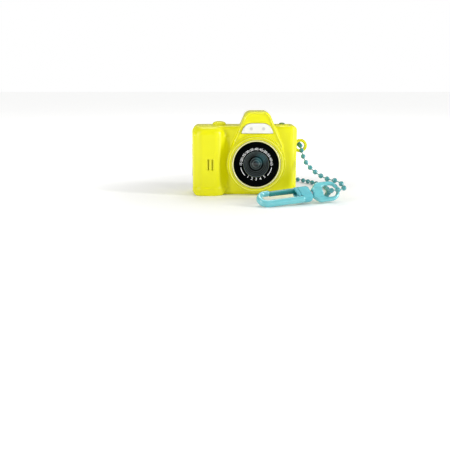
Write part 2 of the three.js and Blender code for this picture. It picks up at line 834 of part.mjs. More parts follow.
function swivelEye() {
  const { start, thick } = EYE;
  const geometry = extruded(eyeOutline(), thick, 0.6, 5).translate(0, 0, -thick / 2);
  const hub = bar("x", 3, start, start + 6, [0, 0], 16);
  const pinSeat = bar("x", PIN.radius + GAP, start - 1, start + 5, [0, 0], 14);
  return cut(join(solidOf(geometry), hub), pinSeat);
}

piece("swivel_eye", swivelEye(), MATERIAL.teal, eye);
piece(
  "swivel_pin",
  join(
    bar("x", PIN.radius, PIN.headStart, EYE.start + 4.6, [0, 0], 20),
    bar("x", PIN.head, PIN.headStart, PIN.headEnd, [0, 0], 20),
  ),
  MATERIAL.metal,
  eye,
);

export default camera;
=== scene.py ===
import json
import math

import bmesh
import bpy
import numpy as np
from mathutils import Matrix, Vector

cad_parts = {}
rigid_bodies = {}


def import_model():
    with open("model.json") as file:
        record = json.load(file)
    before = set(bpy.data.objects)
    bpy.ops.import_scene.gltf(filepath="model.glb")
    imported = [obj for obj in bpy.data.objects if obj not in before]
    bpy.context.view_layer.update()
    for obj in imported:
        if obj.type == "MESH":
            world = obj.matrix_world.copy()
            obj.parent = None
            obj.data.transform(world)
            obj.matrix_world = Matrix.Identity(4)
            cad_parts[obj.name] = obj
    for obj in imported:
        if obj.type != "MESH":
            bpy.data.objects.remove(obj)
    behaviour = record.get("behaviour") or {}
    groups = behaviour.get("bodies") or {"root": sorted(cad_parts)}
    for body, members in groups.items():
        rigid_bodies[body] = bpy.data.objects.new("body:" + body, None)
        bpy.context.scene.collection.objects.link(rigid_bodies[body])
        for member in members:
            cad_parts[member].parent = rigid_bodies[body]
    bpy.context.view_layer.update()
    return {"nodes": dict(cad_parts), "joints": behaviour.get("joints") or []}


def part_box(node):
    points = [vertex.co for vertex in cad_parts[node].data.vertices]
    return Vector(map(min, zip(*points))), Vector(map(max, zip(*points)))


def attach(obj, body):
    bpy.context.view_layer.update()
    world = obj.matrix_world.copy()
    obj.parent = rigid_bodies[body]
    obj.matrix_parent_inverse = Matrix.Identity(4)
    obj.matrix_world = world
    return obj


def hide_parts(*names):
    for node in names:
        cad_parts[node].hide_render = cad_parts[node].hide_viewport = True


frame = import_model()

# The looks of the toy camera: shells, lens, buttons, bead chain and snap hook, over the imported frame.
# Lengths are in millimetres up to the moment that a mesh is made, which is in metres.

MM = 0.001


def span(node):
    """Lowest and highest corner of a CAD node, in millimetres."""
    low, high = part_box(node)
    return np.array(low) / MM, np.array(high) / MM


def middle_of(node):
    low, high = span(node)
    return (low + high) / 2


# ---------------------------------------------------------------- places, from the frame

FRONT_LOW, FRONT_HIGH = span("front_shell")
REAR_LOW, REAR_HIGH = span("rear_cover")
BODY_LEFT, BODY_RIGHT = REAR_LOW[0], REAR_HIGH[0]
BODY_REAR = REAR_HIGH[1]
BODY_FRONT = -BODY_REAR
BODY_TOP = 52.6
HUMP_TOP = REAR_HIGH[2]
SPLIT = (FRONT_HIGH[1] + REAR_LOW[1]) / 2
SEAM = 0.3
WALL = 2.0

TRIM_LOW, TRIM_HIGH = span("lens_trim_ring")
LENS_X = (TRIM_LOW[0] + TRIM_HIGH[0]) / 2
LENS_Z = (TRIM_LOW[2] + TRIM_HIGH[2]) / 2
RING_RADIUS = 22.0
RING_STEP = 20.4
RING_BASE = -18.2
RING_FRONT = FRONT_LOW[1]
RING_BORE = (TRIM_HIGH[0] - TRIM_LOW[0]) / 2 + 0.3
CONE_MOUTH = 9.8
CONE_THROAT = 5.6
PRINT_FACE = span("lens_bezel")[0][1] + 0.04

HUMP_X = LENS_X + 0.9
HUMP_HALF_TOP = 8.4
HUMP_FOOT = 34.0
HUMP_FLARE = 0.436
HUMP_FRONT = -17.0
HUMP_REAR = 9.5
BODY_CORNER = 4.4
BODY_EDGE = 2.6
FRONT_RIGHT_EDGE = 6.5
RING_GROOVES = ((21.3, RING_BASE), (19.3, RING_FRONT))

GRIP_FRONT = -19.0
GRIP_RIGHT = -15.4
GRIP_TOP = 52.2
GRIP_SHOULDER = 6.2
GRIP_CORNER = 8.6
VALLEY_DEPTH = 4.6
POWER_PAD_RADIUS = 5.2
SLOT_SPOTS = (-27.6, -24.6)
SLOT_HALF = 0.7
SLOT_LOW = 19.6
SLOT_HIGH = 28.0


def joint(name):
    return next(j for j in frame["joints"] if j["name"] == name)


# The snap hook's own directions: along from nose to eye, across towards the gate, and up out of it.
HOOK_X = Vector(joint("hook_swivel")["axis"]).normalized()
HOOK_Z = Vector(joint("gate_hinge")["axis"]).normalized()
HOOK_Y = HOOK_Z.cross(HOOK_X)
GATE_PIVOT = 31.6
GATE_SIDE = 5.3
HOOK_NOSE = Vector(joint("gate_hinge")["pos_m"]) / MM - GATE_PIVOT * HOOK_X - GATE_SIDE * HOOK_Y
EYE_TWIST = math.radians(29)
ARM_HALF = 5.5
ARM_BEND = 7.5
ARM_STUB = 10.4
COLLAR_START = 29.6
COLLAR_END = 41.0
EYE_START = 42.3
EYE_END = 63.6
EYE_HALF = 7.7
EYE_NECK = 3.2
EYE_HOLE = (54.2, 56.6, 4.5)
PIN_HOLE = 1.8
PIN_HEAD = 2.5
PIN_HEAD_END = 37.5
PIN_TIP = 47.4
PLATE_HALF = 1.75

# Middle of the bead chain, in metres, from the top of its clasp through the strap lug, down to the
# snap hook's eye and round its end bar, and back along the surface to the clasp.
CHAIN_ROUTE = [
    (0.0385, 0.0190, 0.0283), (0.0388, 0.0184, 0.0318), (0.0418, 0.0124, 0.0363),
    (0.0435, 0.0065, 0.0369), (0.0437, 0.0014, 0.0358), (0.0443, -0.0052, 0.0314),
    (0.0461, -0.0113, 0.0260), (0.0496, -0.0180, 0.0214), (0.0552, -0.0258, 0.0174),
    (0.0608, -0.0325, 0.0152), (0.0662, -0.0368, 0.0146), (0.0696, -0.0410, 0.0128),
    (0.0704, -0.0452, 0.0112), (0.0678, -0.0490, 0.0104), (0.0634, -0.0488, 0.0100),
    (0.0612, -0.0448, 0.0089), (0.0604, -0.0402, 0.0068), (0.0600, -0.0352, 0.0042),
    (0.0606, -0.0286, 0.0023), (0.0624, -0.0200, 0.0019), (0.0650, -0.0090, 0.0019),
    (0.0658, 0.0080, 0.0019), (0.0626, 0.0240, 0.0019), (0.0570, 0.0370, 0.0019),
    (0.0510, 0.0470, 0.0019), (0.0446, 0.0530, 0.0019), (0.0370, 0.0540, 0.0019),
    (0.0308, 0.0494, 0.0019), (0.0294, 0.0420, 0.0019), (0.0316, 0.0346, 0.0019),
    (0.0350, 0.0276, 0.0022), (0.0376, 0.0220, 0.0060), (0.0385, 0.0194, 0.0130),
    (0.0385, 0.0190, 0.0199),
]
BEAD_DIAMETER = 3.8
BEAD_PITCH = 6.4


# ---------------------------------------------------------------- camera


def make_camera():
    """Square to the front, from a little to the left of the lens and above it, pitched down."""
    data = bpy.data.cameras.new("camera_view")
    data.lens = 52.24
    data.sensor_width = 36.0
    data.clip_start = 0.01
    view = bpy.data.objects.new("camera_view", data)
    view.location = (-0.0151, -0.5082, 0.0905)
    view.rotation_euler = (math.radians(90 - 13), 0, 0)
    bpy.context.scene.collection.objects.link(view)
    bpy.context.scene.camera = view


make_camera()


# ---------------------------------------------------------------- materials


class Shader:
    """A node material, built up from one Principled BSDF."""

    def __init__(self, name):
        self.material = bpy.data.materials.new(name)
        self.material.use_nodes = True
        self.tree = self.material.node_tree
        self.bsdf = self.tree.nodes["Principled BSDF"]
        self.coordinates = self.tree.nodes.new("ShaderNodeTexCoord")

    def set(self, **values):
        for name, value in values.items():
            self.bsdf.inputs[name.replace("_", " ")].default_value = value

    def link(self, output, socket):
        self.tree.links.new(output, socket)

    def node(self, kind, values=(), links=(), **settings):
        """A new node with its settings, its input values and its incoming links."""
        node = self.tree.nodes.new("ShaderNode" + kind)
        for name, value in settings.items():
            setattr(node, name, value)
        for socket, value in dict(values).items():
            node.inputs[socket].default_value = value
        for socket, output in dict(links).items():
            self.link(output, node.inputs[socket])
        return node

    def paint(self, output, socket="Base Color"):
        self.link(output, self.bsdf.inputs[socket])

    def noise(self, scale, detail=4.0, roughness=0.55, stretch=None):
        source = self.coordinates.outputs["Object"]
        if stretch:
            source = self.node("Mapping", {"Scale": stretch}, {"Vector": source}).outputs["Vector"]
        values = {"Scale": scale, "Detail": detail, "Roughness": roughness}
        return self.node("TexNoise", values, {"Vector": source}).outputs["Fac"]

    def ramp(self, value, low, high, start=0.35, end=0.65):
        node = self.node("ValToRGB", links={"Fac": value})
        node.color_ramp.elements[0].position = start
        node.color_ramp.elements[1].position = end
        node.color_ramp.elements[0].color = low
        node.color_ramp.elements[1].color = high
        return node.outputs["Color"]

    def mix(self, factor, a, b):
        node = self.node("Mix", links={"Factor": factor}, data_type="RGBA")
        for source, index in ((a, 6), (b, 7)):
            if isinstance(source, tuple):
                node.inputs[index].default_value = source
            else:
                self.link(source, node.inputs[index])
        return node.outputs[2]

    def spread(self, value, low, high):
        return self.node("MapRange", {"To Min": low, "To Max": high}, {"Value": value}).outputs["Result"]

    def fade(self, value, start, end, low=0.0, high=1.0):
        """A smooth change from low to high as value goes from start to end."""
        values = {"From Min": start, "From Max": end, "To Min": low, "To Max": high}
        node = self.node("MapRange", values, {"Value": value}, interpolation_type="SMOOTHSTEP")
        return node.outputs["Result"]

    def distance(self, source, place):
        """How far source is from place."""
        node = self.node("VectorMath", {1: place}, {0: source}, operation="DISTANCE")
        return node.outputs["Value"]

    def bump(self, height, strength, distance=0.0001):
        node = self.node("Bump", {"Strength": strength, "Distance": distance}, {"Height": height})
        if self.bsdf.inputs["Normal"].is_linked:
            before = self.bsdf.inputs["Normal"].links[0].from_socket
            self.link(before, node.inputs["Normal"])
        self.link(node.outputs["Normal"], self.bsdf.inputs["Normal"])


def rgba(r, g, b):
    return (r, g, b, 1.0)


def plastic(name, colour, deeper, gloss=0.28, grain=0.05, coat=0.0, scuffs=0.06, specular=0.5):
    """Moulded plastic: a faint cloud of tone, edges painted paler as a painted highlight, uneven gloss and a
    mould grain.
    """
    shader = Shader(name)
    cloud = shader.ramp(shader.noise(35.0, 3.0), rgba(*deeper), rgba(*colour))
    geometry = shader.node("NewGeometry")
    # Painted highlight: sharp edges and ridges are painted paler, picked out by the mesh's pointiness.
    edge = shader.ramp(geometry.outputs["Pointiness"], rgba(0, 0, 0), rgba(0.6, 0.6, 0.6), 0.52, 0.62)
    painted_edge_highlight = rgba(*(c + 0.35 * (1 - c) * max(colour) for c in colour))
    shader.paint(shader.mix(edge, cloud, painted_edge_highlight))
    scuff = shader.noise(420.0, 6.0, 0.7, (1.0, 1.0, 0.12))
    shader.paint(shader.spread(scuff, gloss - scuffs, gloss + scuffs), "Roughness")
    shader.bump(shader.noise(2600.0, 2.0), grain, 0.00005)
    shader.bump(shader.noise(160.0, 2.0), grain * 0.8, 0.0001)
    shader.set(Coat_Weight=coat, Coat_Roughness=0.12, Specular_IOR_Level=specular)
    return shader.material


YELLOW = plastic("yellow_plastic", (0.77, 0.755, 0.002), (0.74, 0.72, 0.001), 0.25, 0.05, 0.0, 0.05, 0.32)
# Painted shade: the shutter button's yellow is a slightly darker copy of the body's yellow.
YELLOW_BUTTON_PAINTED_SHADE = plastic("yellow_button_painted_shade", (0.75, 0.735, 0.002), (0.72, 0.70, 0.001), 0.25, 0.03, 0.0,
                        0.05, 0.32)
PALE = plastic("pale_trim", (0.90, 0.87, 0.42), (0.86, 0.82, 0.36), 0.25, 0.03, 0.3)
BLACK = plastic("lens_black", (0.0025, 0.003, 0.003), (0.001, 0.0015, 0.0015), 0.35, 0.04, 0.0, 0.04, 0.0)
TEAL = plastic("teal_plastic", (0.16, 0.56, 0.60), (0.12, 0.50, 0.55), 0.16, 0.05, 1.0, 0.04)
TEAL_COLLAR = plastic("teal_collar", (0.12, 0.50, 0.57), (0.09, 0.44, 0.51), 0.5, 0.35, 0.0)
TEAL_GATE = plastic("teal_gate", (0.012, 0.27, 0.26), (0.008, 0.22, 0.22), 0.2, 0.04, 0.4)
TEAL_BEAD = plastic("teal_bead", (0.04, 0.31, 0.32), (0.025, 0.24, 0.26), 0.16, 0.03, 1.0, 0.04)
KEY_TEAL = plastic("key_teal", (0.05, 0.38, 0.42), (0.04, 0.33, 0.37), 0.34, 0.06, 0.1)
POWER_GREEN = plastic("power_green", (0.17, 0.27, 0.05), (0.13, 0.22, 0.04), 0.4, 0.06, 0.0)
RUBBER = plastic("flap_rubber", (0.44, 0.42, 0.05), (0.38, 0.36, 0.04), 0.6, 0.15, 0.0)
DARK = plastic("dark_part", (0.03, 0.03, 0.033), (0.02, 0.02, 0.022), 0.5, 0.2, 0.0)
WHITE = plastic("white_part", (0.88, 0.88, 0.86), (0.82, 0.82, 0.80), 0.25, 0.03, 0.2)
PRINT = plastic("white_print", (0.94, 0.95, 0.96), (0.86, 0.87, 0.88), 0.4, 0.1, 0.0)
LED_GREY = plastic("led_grey", (0.06, 0.06, 0.07), (0.03, 0.03, 0.035), 0.3, 0.05, 0.2)


def board_green():
    shader = Shader("circuit_board")
    tracks = shader.noise(900.0, 1.0, 0.4, (1.0, 1.0, 0.25))
    shader.paint(shader.ramp(tracks, rgba(0.006, 0.085, 0.022), rgba(0.02, 0.17, 0.05), 0.49, 0.53))
    shader.bump(tracks, 0.3, 0.0001)
    shader.set(Roughness=0.35)
    return shader.material


def plated_steel():
    shader = Shader("plated_steel")
    brush = shader.noise(1800.0, 3.0, 0.5, (1.0, 0.1, 1.0))
    shader.paint(shader.ramp(brush, rgba(0.50, 0.51, 0.53), rgba(0.68, 0.69, 0.71)))
    shader.paint(shader.spread(brush, 0.22, 0.38), "Roughness")
    shader.bump(brush, 0.1, 0.00003)
    shader.set(Metallic=1.0)
    return shader.material


def foil():
    shader = Shader("cell_foil")
    crease = shader.noise(240.0, 5.0)
    shader.paint(shader.ramp(crease, rgba(0.42, 0.44, 0.47), rgba(0.56, 0.58, 0.61)))
    shader.bump(crease, 0.4, 0.0003)
    shader.set(Metallic=0.7, Roughness=0.4)
    return shader.material


def lens_rings(name, stops, roughness):
    """Colour in rings about the lens's axis, from (radius, colour) stops, with a painted teal
    reflection that is strongest up and to the right of the middle."""
    shader = Shader(name)
    moved = shader.node("Mapping", {"Location": (-LENS_X * MM, 0, -LENS_Z * MM)},
                        {"Vector": shader.coordinates.outputs["Object"]}).outputs["Vector"]
    flat = shader.node("VectorMath", {1: (1, 0, 1)}, {0: moved}, operation="MULTIPLY").outputs["Vector"]
    length = shader.node("VectorMath", links={0: flat}, operation="LENGTH").outputs["Value"]
    radius = shader.node("MapRange", {"From Max": 10 * MM}, {"Value": length}).outputs["Result"]
    rings = shader.node("ValToRGB", links={"Fac": radius})
    while len(rings.color_ramp.elements) < len(stops):
        rings.color_ramp.elements.new(0.5)
    for element, (place, colour) in zip(rings.color_ramp.elements, stops):
        element.position = place / 10
        element.color = rgba(*colour)
    # Painted reflection: a teal tint added to the colour, fading out from a spot up and to the right of the
    # lens's middle.
    from_spot = shader.distance(flat, (3.6 * MM, 0, 3.8 * MM))
    glow = shader.fade(from_spot, 6.2 * MM, 0.6 * MM)
    painted_reflection = shader.node("Mix", {7: rgba(0.02, 0.12, 0.14)}, {"Factor": glow, 6: rings.outputs["Color"]},
                          data_type="RGBA", blend_type="ADD")
    shader.paint(painted_reflection.outputs[2])
    smear = shader.noise(500.0, 3.0)
    shader.paint(shader.spread(smear, roughness, roughness + 0.06), "Roughness")
    return shader


# Painted highlight: a pale ring colour for edges that catch light; VALLEY is the black between them.
PAINTED_RIDGE_HIGHLIGHT = (0.13, 0.17, 0.165)
VALLEY = (0.003, 0.006, 0.006)


def coated_glass():
    """Front lens element: dark coated glass with painted highlight rings where the edges of the inner
    elements show.
    """
    stops = [(0.0, (0.02, 0.02, 0.024)), (1.2, (0.004, 0.005, 0.006)), (2.1, (0.004, 0.006, 0.007)),
             (2.5, PAINTED_RIDGE_HIGHLIGHT), (2.9, VALLEY), (3.9, (0.012, 0.022, 0.024)), (4.3, PAINTED_RIDGE_HIGHLIGHT), (4.7, VALLEY)]
    shader = lens_rings("coated_glass", stops, 0.03)
    shader.set(Coat_Weight=0.3, Coat_Roughness=0.02, Specular_IOR_Level=0.35)
    return shader.material


def baffle_black():
    """The stepped cone: satin black, with a painted highlight ring on the edge of each step."""
    stops = [(5.5, VALLEY)]
    for i in range(4):
        place = 6.2 + 1.05 * i
        stops += [(place - 0.3, VALLEY), (place, PAINTED_RIDGE_HIGHLIGHT), (place + 0.3, VALLEY)]
    shader = lens_rings("baffle_black", stops, 0.4)
    shader.set(Specular_IOR_Level=0.3)
    return shader.material


def flash_diffuser():
    """Milky clear window, with soft grey spots of painted shade where the two flash lights sit behind it."""
    shader = Shader("flash_window_clear")
    haze = shader.noise(260.0, 3.0)
    colour = shader.ramp(haze, rgba(0.98, 0.98, 0.93), rgba(1.0, 1.0, 0.96))
    face = span("flash_window")[0][1]
    for led in ("flash_led_left", "flash_led_right"):
        x, _, z = middle_of(led)
        away = shader.distance(shader.coordinates.outputs["Object"], (x * MM, face * MM, z * MM))
        # Painted shade: the window's colour is darkened to grey round each flash light behind it.
        spot = shader.fade(away, 1.7 * MM, 0.7 * MM, 0.0, 0.5)
        colour = shader.mix(spot, colour, rgba(0.40, 0.41, 0.40))
    shader.paint(colour)
    shader.bump(shader.noise(1400.0, 1.0, 0.4, (0.05, 1.0, 1.0)), 0.1, 0.0001)
    shader.set(Transmission_Weight=0.25, Roughness=0.1, IOR=1.46)
    return shader.material


def screen_glass():
    shader = Shader("screen_pane")
    smear = shader.noise(90.0, 5.0)
    shader.paint(shader.ramp(smear, rgba(0.008, 0.009, 0.011), rgba(0.012, 0.014, 0.017)))
    shader.paint(shader.spread(smear, 0.04, 0.14), "Roughness")
    shader.set(Coat_Weight=0.6, Coat_Roughness=0.04)
    return shader.material


def display_grey():
    shader = Shader("display_area")
    grain = shader.noise(4000.0, 1.0)
    shader.paint(shader.ramp(grain, rgba(0.018, 0.022, 0.030), rgba(0.026, 0.031, 0.040)))
    shader.set(Roughness=0.2, Coat_Weight=0.6, Coat_Roughness=0.05)
    return shader.material


GAUZE = plastic("speaker_gauze", (0.86, 0.80, 0.004), (0.74, 0.68, 0.003), 0.7, 0.4, 0.0)
BOARD = board_green()
STEEL = plated_steel()
FOIL = foil()
GLASS = coated_glass()
CONE_BLACK = baffle_black()
FLASH_CLEAR = flash_diffuser()
SCREEN = screen_glass()
DISPLAY = display_grey()


# ---------------------------------------------------------------- pieces


def add_piece(name, mesh, material, body, replaces=()):
    """A finished piece: its material, the body it rides on, and the CAD nodes it stands for."""
    obj = bpy.data.objects.new(name, mesh)
    bpy.context.scene.collection.objects.link(obj)
    mesh.materials.clear()
    mesh.materials.append(material)
    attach(obj, body)
    if replaces:
        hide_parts(*replaces)
    return obj


def mesh_from(name, points, faces, sharp=None):
    """A mesh in metres from points in millimetres, shaded smooth."""
    mesh = bpy.data.meshes.new(name)
    mesh.from_pydata((np.asarray(points) * MM).tolist(), [], [list(f) for f in faces])
    mesh.validate()
    mesh.polygons.foreach_set("use_smooth", [True] * len(mesh.polygons))
    if sharp is not None:
        mesh.set_sharp_from_angle(angle=math.radians(sharp))
    mesh.update()
    return mesh


def circle(centre, u, v, radius, sides):
    """Points round centre, in the plane of u and v."""
    angles = [2 * math.pi * i / sides for i in range(sides)]
    return [tuple(centre + radius * (math.cos(a) * u + math.sin(a) * v)) for a in angles]


def lathe(name, profile, axis_point, direction, sides=96, sharp=35):
    """Turn a profile of (radius, height) round an axis. Points on the axis close its ends."""
    w = Vector(direction).normalized()
    u = w.orthogonal().normalized()
    v = w.cross(u)
    centre = Vector(axis_point)
    points = []
    rows = []
    for radius, height in np.array(profile).tolist():
        middle = centre + w * height
        if radius < 1e-6:
            rows.append([len(points)] * sides)
            points.append(tuple(middle))
            continue
        rows.append(list(range(len(points), len(points) + sides)))
        points += circle(middle, u, v, radius, sides)
    faces = []
    closed = profile[0][0] >= 1e-6
    pairs = list(zip(rows, rows[1:]))
    if closed:
        pairs.append((rows[-1], rows[0]))
    for low, high in pairs:
        for i in range(sides):
            j = (i + 1) % sides
            corners = [low[i], low[j], high[j], high[i]]
            face = [c for k, c in enumerate(corners) if c not in corners[:k]]
            if len(face) > 2:
                faces.append(face)
    mesh = mesh_from(name, points, faces, sharp)
    return outward(mesh)


def outward(mesh):
    """Turn all faces outward."""
    work = bmesh.new()
    work.from_mesh(mesh)
    bmesh.ops.recalc_face_normals(work, faces=work.faces)
    work.to_mesh(mesh)
    work.free()
    return mesh


def emptied(work):
    """Points and faces of a bmesh, which is freed."""
    work.verts.index_update()
    points = [tuple(v.co) for v in work.verts]
    faces = [[v.index for v in face.verts] for face in work.faces]
    work.free()
    return points, faces


def softened(profile, radius, steps=3):
    """The profile with each inner corner cut into a small arc."""
    profile = np.array(profile).tolist()
    result = [profile[0]]
    for before, corner, after in zip(profile, profile[1:], profile[2:]):
        a, b, c = Vector(before), Vector(corner), Vector(after)
        reach = min(radius, (a - b).length * 0.45, (c - b).length * 0.45)
        start = b + (a - b).normalized() * reach
        end = b + (c - b).normalized() * reach
        for i in range(steps + 1):
            t = i / steps
            point = (1 - t) ** 2 * start + 2 * t * (1 - t) * b + t * t * end
            result.append(list(point))
    result.append(profile[-1])
    return result


# ---------------------------------------------------------------- distance fields


def hypot(a, b):
    return np.sqrt(a * a + b * b)


def meet(a, b, r=0.0):
    """Where both fields are inside, with the edge between them rounded to r."""
    if np.isscalar(r) and r <= 0:
        return np.maximum(a, b)
    a, b = a + r, b + r
    return np.minimum(np.maximum(a, b), 0) + hypot(np.maximum(a, 0), np.maximum(b, 0)) - r


def merge(a, b, r=0.0):
    """Where either field is inside, with a fillet of r in the corner between them."""
    return -meet(-a, -b, r)


def carve(a, b, r=0.0):
    """Field a with field b cut out of it."""
    return meet(a, -b, r)


def between(value, low, high):
    return np.maximum(low - value, value - high)


def rectangle(u, v, low, high, r=0.0):
    """A rectangle from corner low to corner high, with corners rounded to r."""
    return meet(between(u, low[0], high[0]), between(v, low[1], high[1]), r)


def rise(value, start, end):
    """A smooth step from 0 at start to 1 at end."""
    t = np.clip((value - start) / (end - start), 0, 1)
    return t * t * (3 - 2 * t)


def skin(name, field, low, high, step, relax=2, place=None):
    """A mesh on the zero level of field(x, y, z), by surface nets, with its points then moved
    exactly onto the surface. It is made in its own space and put in the frame by place."""
    low = np.asarray(low, float) - 2 * step
    counts = np.ceil((np.asarray(high, float) + 2 * step - low) / step).astype(int) + 1
    axes = [low[i] + step * np.arange(counts[i]) for i in range(3)]
    values = field(*np.meshgrid(*axes, indexing="ij"))
    inside = values < 0
    corners = [(i, j, k) for i in (0, 1) for j in (0, 1) for k in (0, 1)]
    total = sum(
        inside[i:counts[0] - 1 + i, j:counts[1] - 1 + j, k:counts[2] - 1 + k].astype(np.int8)
        for i, j, k in corners
    )
    cells = np.argwhere((total > 0) & (total < 8))
    index = np.full(counts - 1, -1, np.int64)
    index[tuple(cells.T)] = np.arange(len(cells))
    spots = np.zeros((len(cells), 3))
    crossings = np.zeros(len(cells))
    for axis in range(3):
        others = [a for a in range(3) if a != axis]
        for p in (0, 1):
            for q in (0, 1):
                start = cells.copy()
                start[:, others[0]] += p
                start[:, others[1]] += q
                end = start.copy()
                end[:, axis] += 1
                a, b = values[tuple(start.T)], values[tuple(end.T)]
                crossed = (a < 0) != (b < 0)
                t = np.where(crossed, a / np.where(crossed, a - b, 1), 0)
                spot = start.astype(float)
                spot[:, axis] += t
                spots += spot * crossed[:, None]
                crossings += crossed
    points = low + step * spots / crossings[:, None]
    faces = []
    for axis in range(3):
        b, c = (axis + 1) % 3, (axis + 2) % 3
        near = [slice(1, -1)] * 3
        near[axis] = slice(0, -1)
        far = list(near)
        far[axis] = slice(1, None)
        first, second = inside[tuple(near)], inside[tuple(far)]
        for enters in (True, False):
            hits = np.argwhere((first != second) & (first == enters))
            hits += [0 if i == axis else 1 for i in range(3)]
            loop = []
            for db, dc in ((0, 0), (1, 0), (1, 1), (0, 1)):
                cell = hits.copy()
                cell[:, b] -= db
                cell[:, c] -= dc
                loop.append(index[tuple(cell.T)])
            quad = np.stack(loop, 1)
            faces.append(quad if enters else quad[:, ::-1])
    faces = np.concatenate(faces)
    edges = np.concatenate([faces[:, [i, (i + 1) % 4]] for i in range(4)])
    degree = np.bincount(edges.ravel(), minlength=len(points))[:, None]
    for turn in range(relax + 1):
        if turn:
            mean = np.zeros_like(points)
            np.add.at(mean, edges[:, 0], points[edges[:, 1]])
            np.add.at(mean, edges[:, 1], points[edges[:, 0]])
            points += 0.5 * (mean / degree - points)
        for _ in range(3):
            points = onto_surface(points, field, step)
    if place is not None:
        points = points @ np.array(place.to_3x3()).T + np.array(place.translation)
    return mesh_from(name, points, faces)


def onto_surface(points, field, step):
    """One Newton step towards the zero level of field, no longer than half a grid step."""
    h = 0.02
    value = field(*points.T)
    slope = np.stack(
        [(field(*(points + d).T) - field(*(points - d).T)) / (2 * h) for d in h * np.eye(3)], 1
    )
    move = slope * (value / np.maximum((slope ** 2).sum(1), 0.05))[:, None]
    size = np.linalg.norm(move, axis=1)[:, None]
    return points - move * np.minimum(1, 0.5 * step / np.maximum(size, 1e-9))


def add_skin(name, node, field, low, high, step, material, body, relax=2, place=None):
    """A piece made from its distance field, which stands for one CAD node."""
    mesh = skin(name, field, low, high, step, relax, place)
    add_piece(name, mesh, material, body, [node])


# ---------------------------------------------------------------- body shells


def hump_outline(x, z, inset=0.0):
    """The hump's face: a flared trapezoid with rounded top corners."""
    slant = math.hypot(1, HUMP_FLARE)
    reach = HUMP_HALF_TOP + HUMP_FLARE * (HUMP_TOP - z)
    side = (np.abs(x - HUMP_X) - reach) / slant + inset
    outline = meet(side, z - HUMP_TOP + inset, 3.2)
    spread = np.maximum(z - HUMP_FOOT, 0) + 0.02 * np.maximum(z - HUMP_FOOT, 0) ** 3
    reach = hypot(x - LENS_X, z - LENS_Z) - (RING_RADIUS + 0.9 - inset) - spread
    return np.maximum(meet(outline, reach, 4.0), 28 - z)


def flash_outline(x, z, grow=0.0):
    low, high = span("flash_window")
    half = (high[0] - low[0]) / 2
    slope = 0.3
    side = (np.abs(x - (low[0] + half)) - half + slope * (z - low[2])) / math.hypot(1, slope) - grow
    return meet(meet(side, z - high[2] - grow, 5.4), low[2] - grow - z, 0.5)


def body_field(x, y, z):
    """Outside of the whole camera body."""
    outline = rectangle(x, z, (BODY_LEFT, 0), (BODY_RIGHT, BODY_TOP), BODY_CORNER)
    main = meet(outline, between(y, BODY_FRONT, BODY_REAR), BODY_EDGE)
    main = np.maximum(main, meet(x - BODY_RIGHT, BODY_FRONT - y, FRONT_RIGHT_EDGE))
    pad_x, pad_y, _ = middle_of("power_button")
    pad = meet(hypot(x - pad_x, y - pad_y) - POWER_PAD_RADIUS, between(z, BODY_TOP - 3, BODY_TOP + 0.7), 0.5)
    foot = 0.35 * (1 - rise(z, 6.2, 6.6))
    plan = rectangle(x, y, (BODY_LEFT, GRIP_FRONT), (GRIP_RIGHT, 2), GRIP_CORNER) - foot
    height = meet(z - GRIP_TOP, -z - 3)
    grip = meet(np.maximum(plan, BODY_LEFT - x), height, GRIP_SHOULDER)
    grip = np.maximum(grip, outline)
    valley = VALLEY_DEPTH * rise(x, -36, -27) * rise(z, 0, 7) * (1 - rise(z, 44, 51)) + 0.01
    field = merge(main, grip, valley)
    hump = meet(hump_outline(x, z), between(y, HUMP_FRONT, HUMP_REAR), 2.2)
    field = merge(field, hump, 0.8)
    face = np.maximum(hump_outline(x, z, 1.5), y - (HUMP_FRONT + 0.8))
    field = carve(field, face, 0.5)
    from_lens = hypot(x - LENS_X, z - LENS_Z)
    ring = meet(from_lens - RING_RADIUS, between(y, RING_BASE, 0), 0.7)
    step = meet(from_lens - RING_STEP, between(y, RING_FRONT, 0), 0.45)
    field = merge(merge(field, ring, 0.9), step, 0.35)
    for radius, depth_from in RING_GROOVES:
        groove = np.maximum(np.abs(from_lens - radius) - 0.4, y - (depth_from + 0.7))
        field = carve(field, groove, 0.25)
    return np.maximum(merge(field, pad, 0.6), -z)


def shell_field(x, y, z):
    outside = body_field(x, y, z)
    return np.maximum(outside, -(outside + WALL))


def front_field(x, y, z):
    field = meet(shell_field(x, y, z), y - (SPLIT - SEAM / 2), 0.25)
    from_lens = hypot(x - LENS_X, z - LENS_Z)
    field = carve(field, np.maximum(from_lens - RING_BORE, y + 6), 0.3)
    window = np.maximum(flash_outline(x, z, 0.15), y - (HUMP_FRONT + 4))
    field = carve(field, window, 0.3)
    for name, room in (("shutter_button", 0.25), ("power_button", 0.2)):
        low, high = span(name)
        middle = (low + high) / 2
        radius = (high[0] - low[0]) / 2 - 0.6 + room
        hole = np.maximum(hypot(x - middle[0], y - middle[1]) - radius, 46 - z)
        field = carve(field, hole, 0.35)
    for spot in SLOT_SPOTS:
        slot = rectangle(x, z, (spot - SLOT_HALF, SLOT_LOW), (spot + SLOT_HALF, SLOT_HIGH), 0.5)
        field = carve(field, np.maximum(slot, y - (GRIP_FRONT + 0.9)), 0.15)
        field = carve(field, np.maximum(slot + 0.35, y + 14), 0.1)
    low, high = span("port_cover")
    seat = rectangle(y, z, (low[1] - 0.2, low[2] - 0.2), (high[1] + 0.2, high[2] + 0.2), 1.0)
    field = carve(field, np.maximum(seat, x - high[0] - 0.2), 0.2)
    for name in ("usb_socket", "card_socket"):
        low, high = span(name)
        mouth = rectangle(y, z, low[1:] - 0.2, high[1:] + 0.2, 0.8)
        field = carve(field, np.maximum(mouth, x + 36), 0.1)
    return field


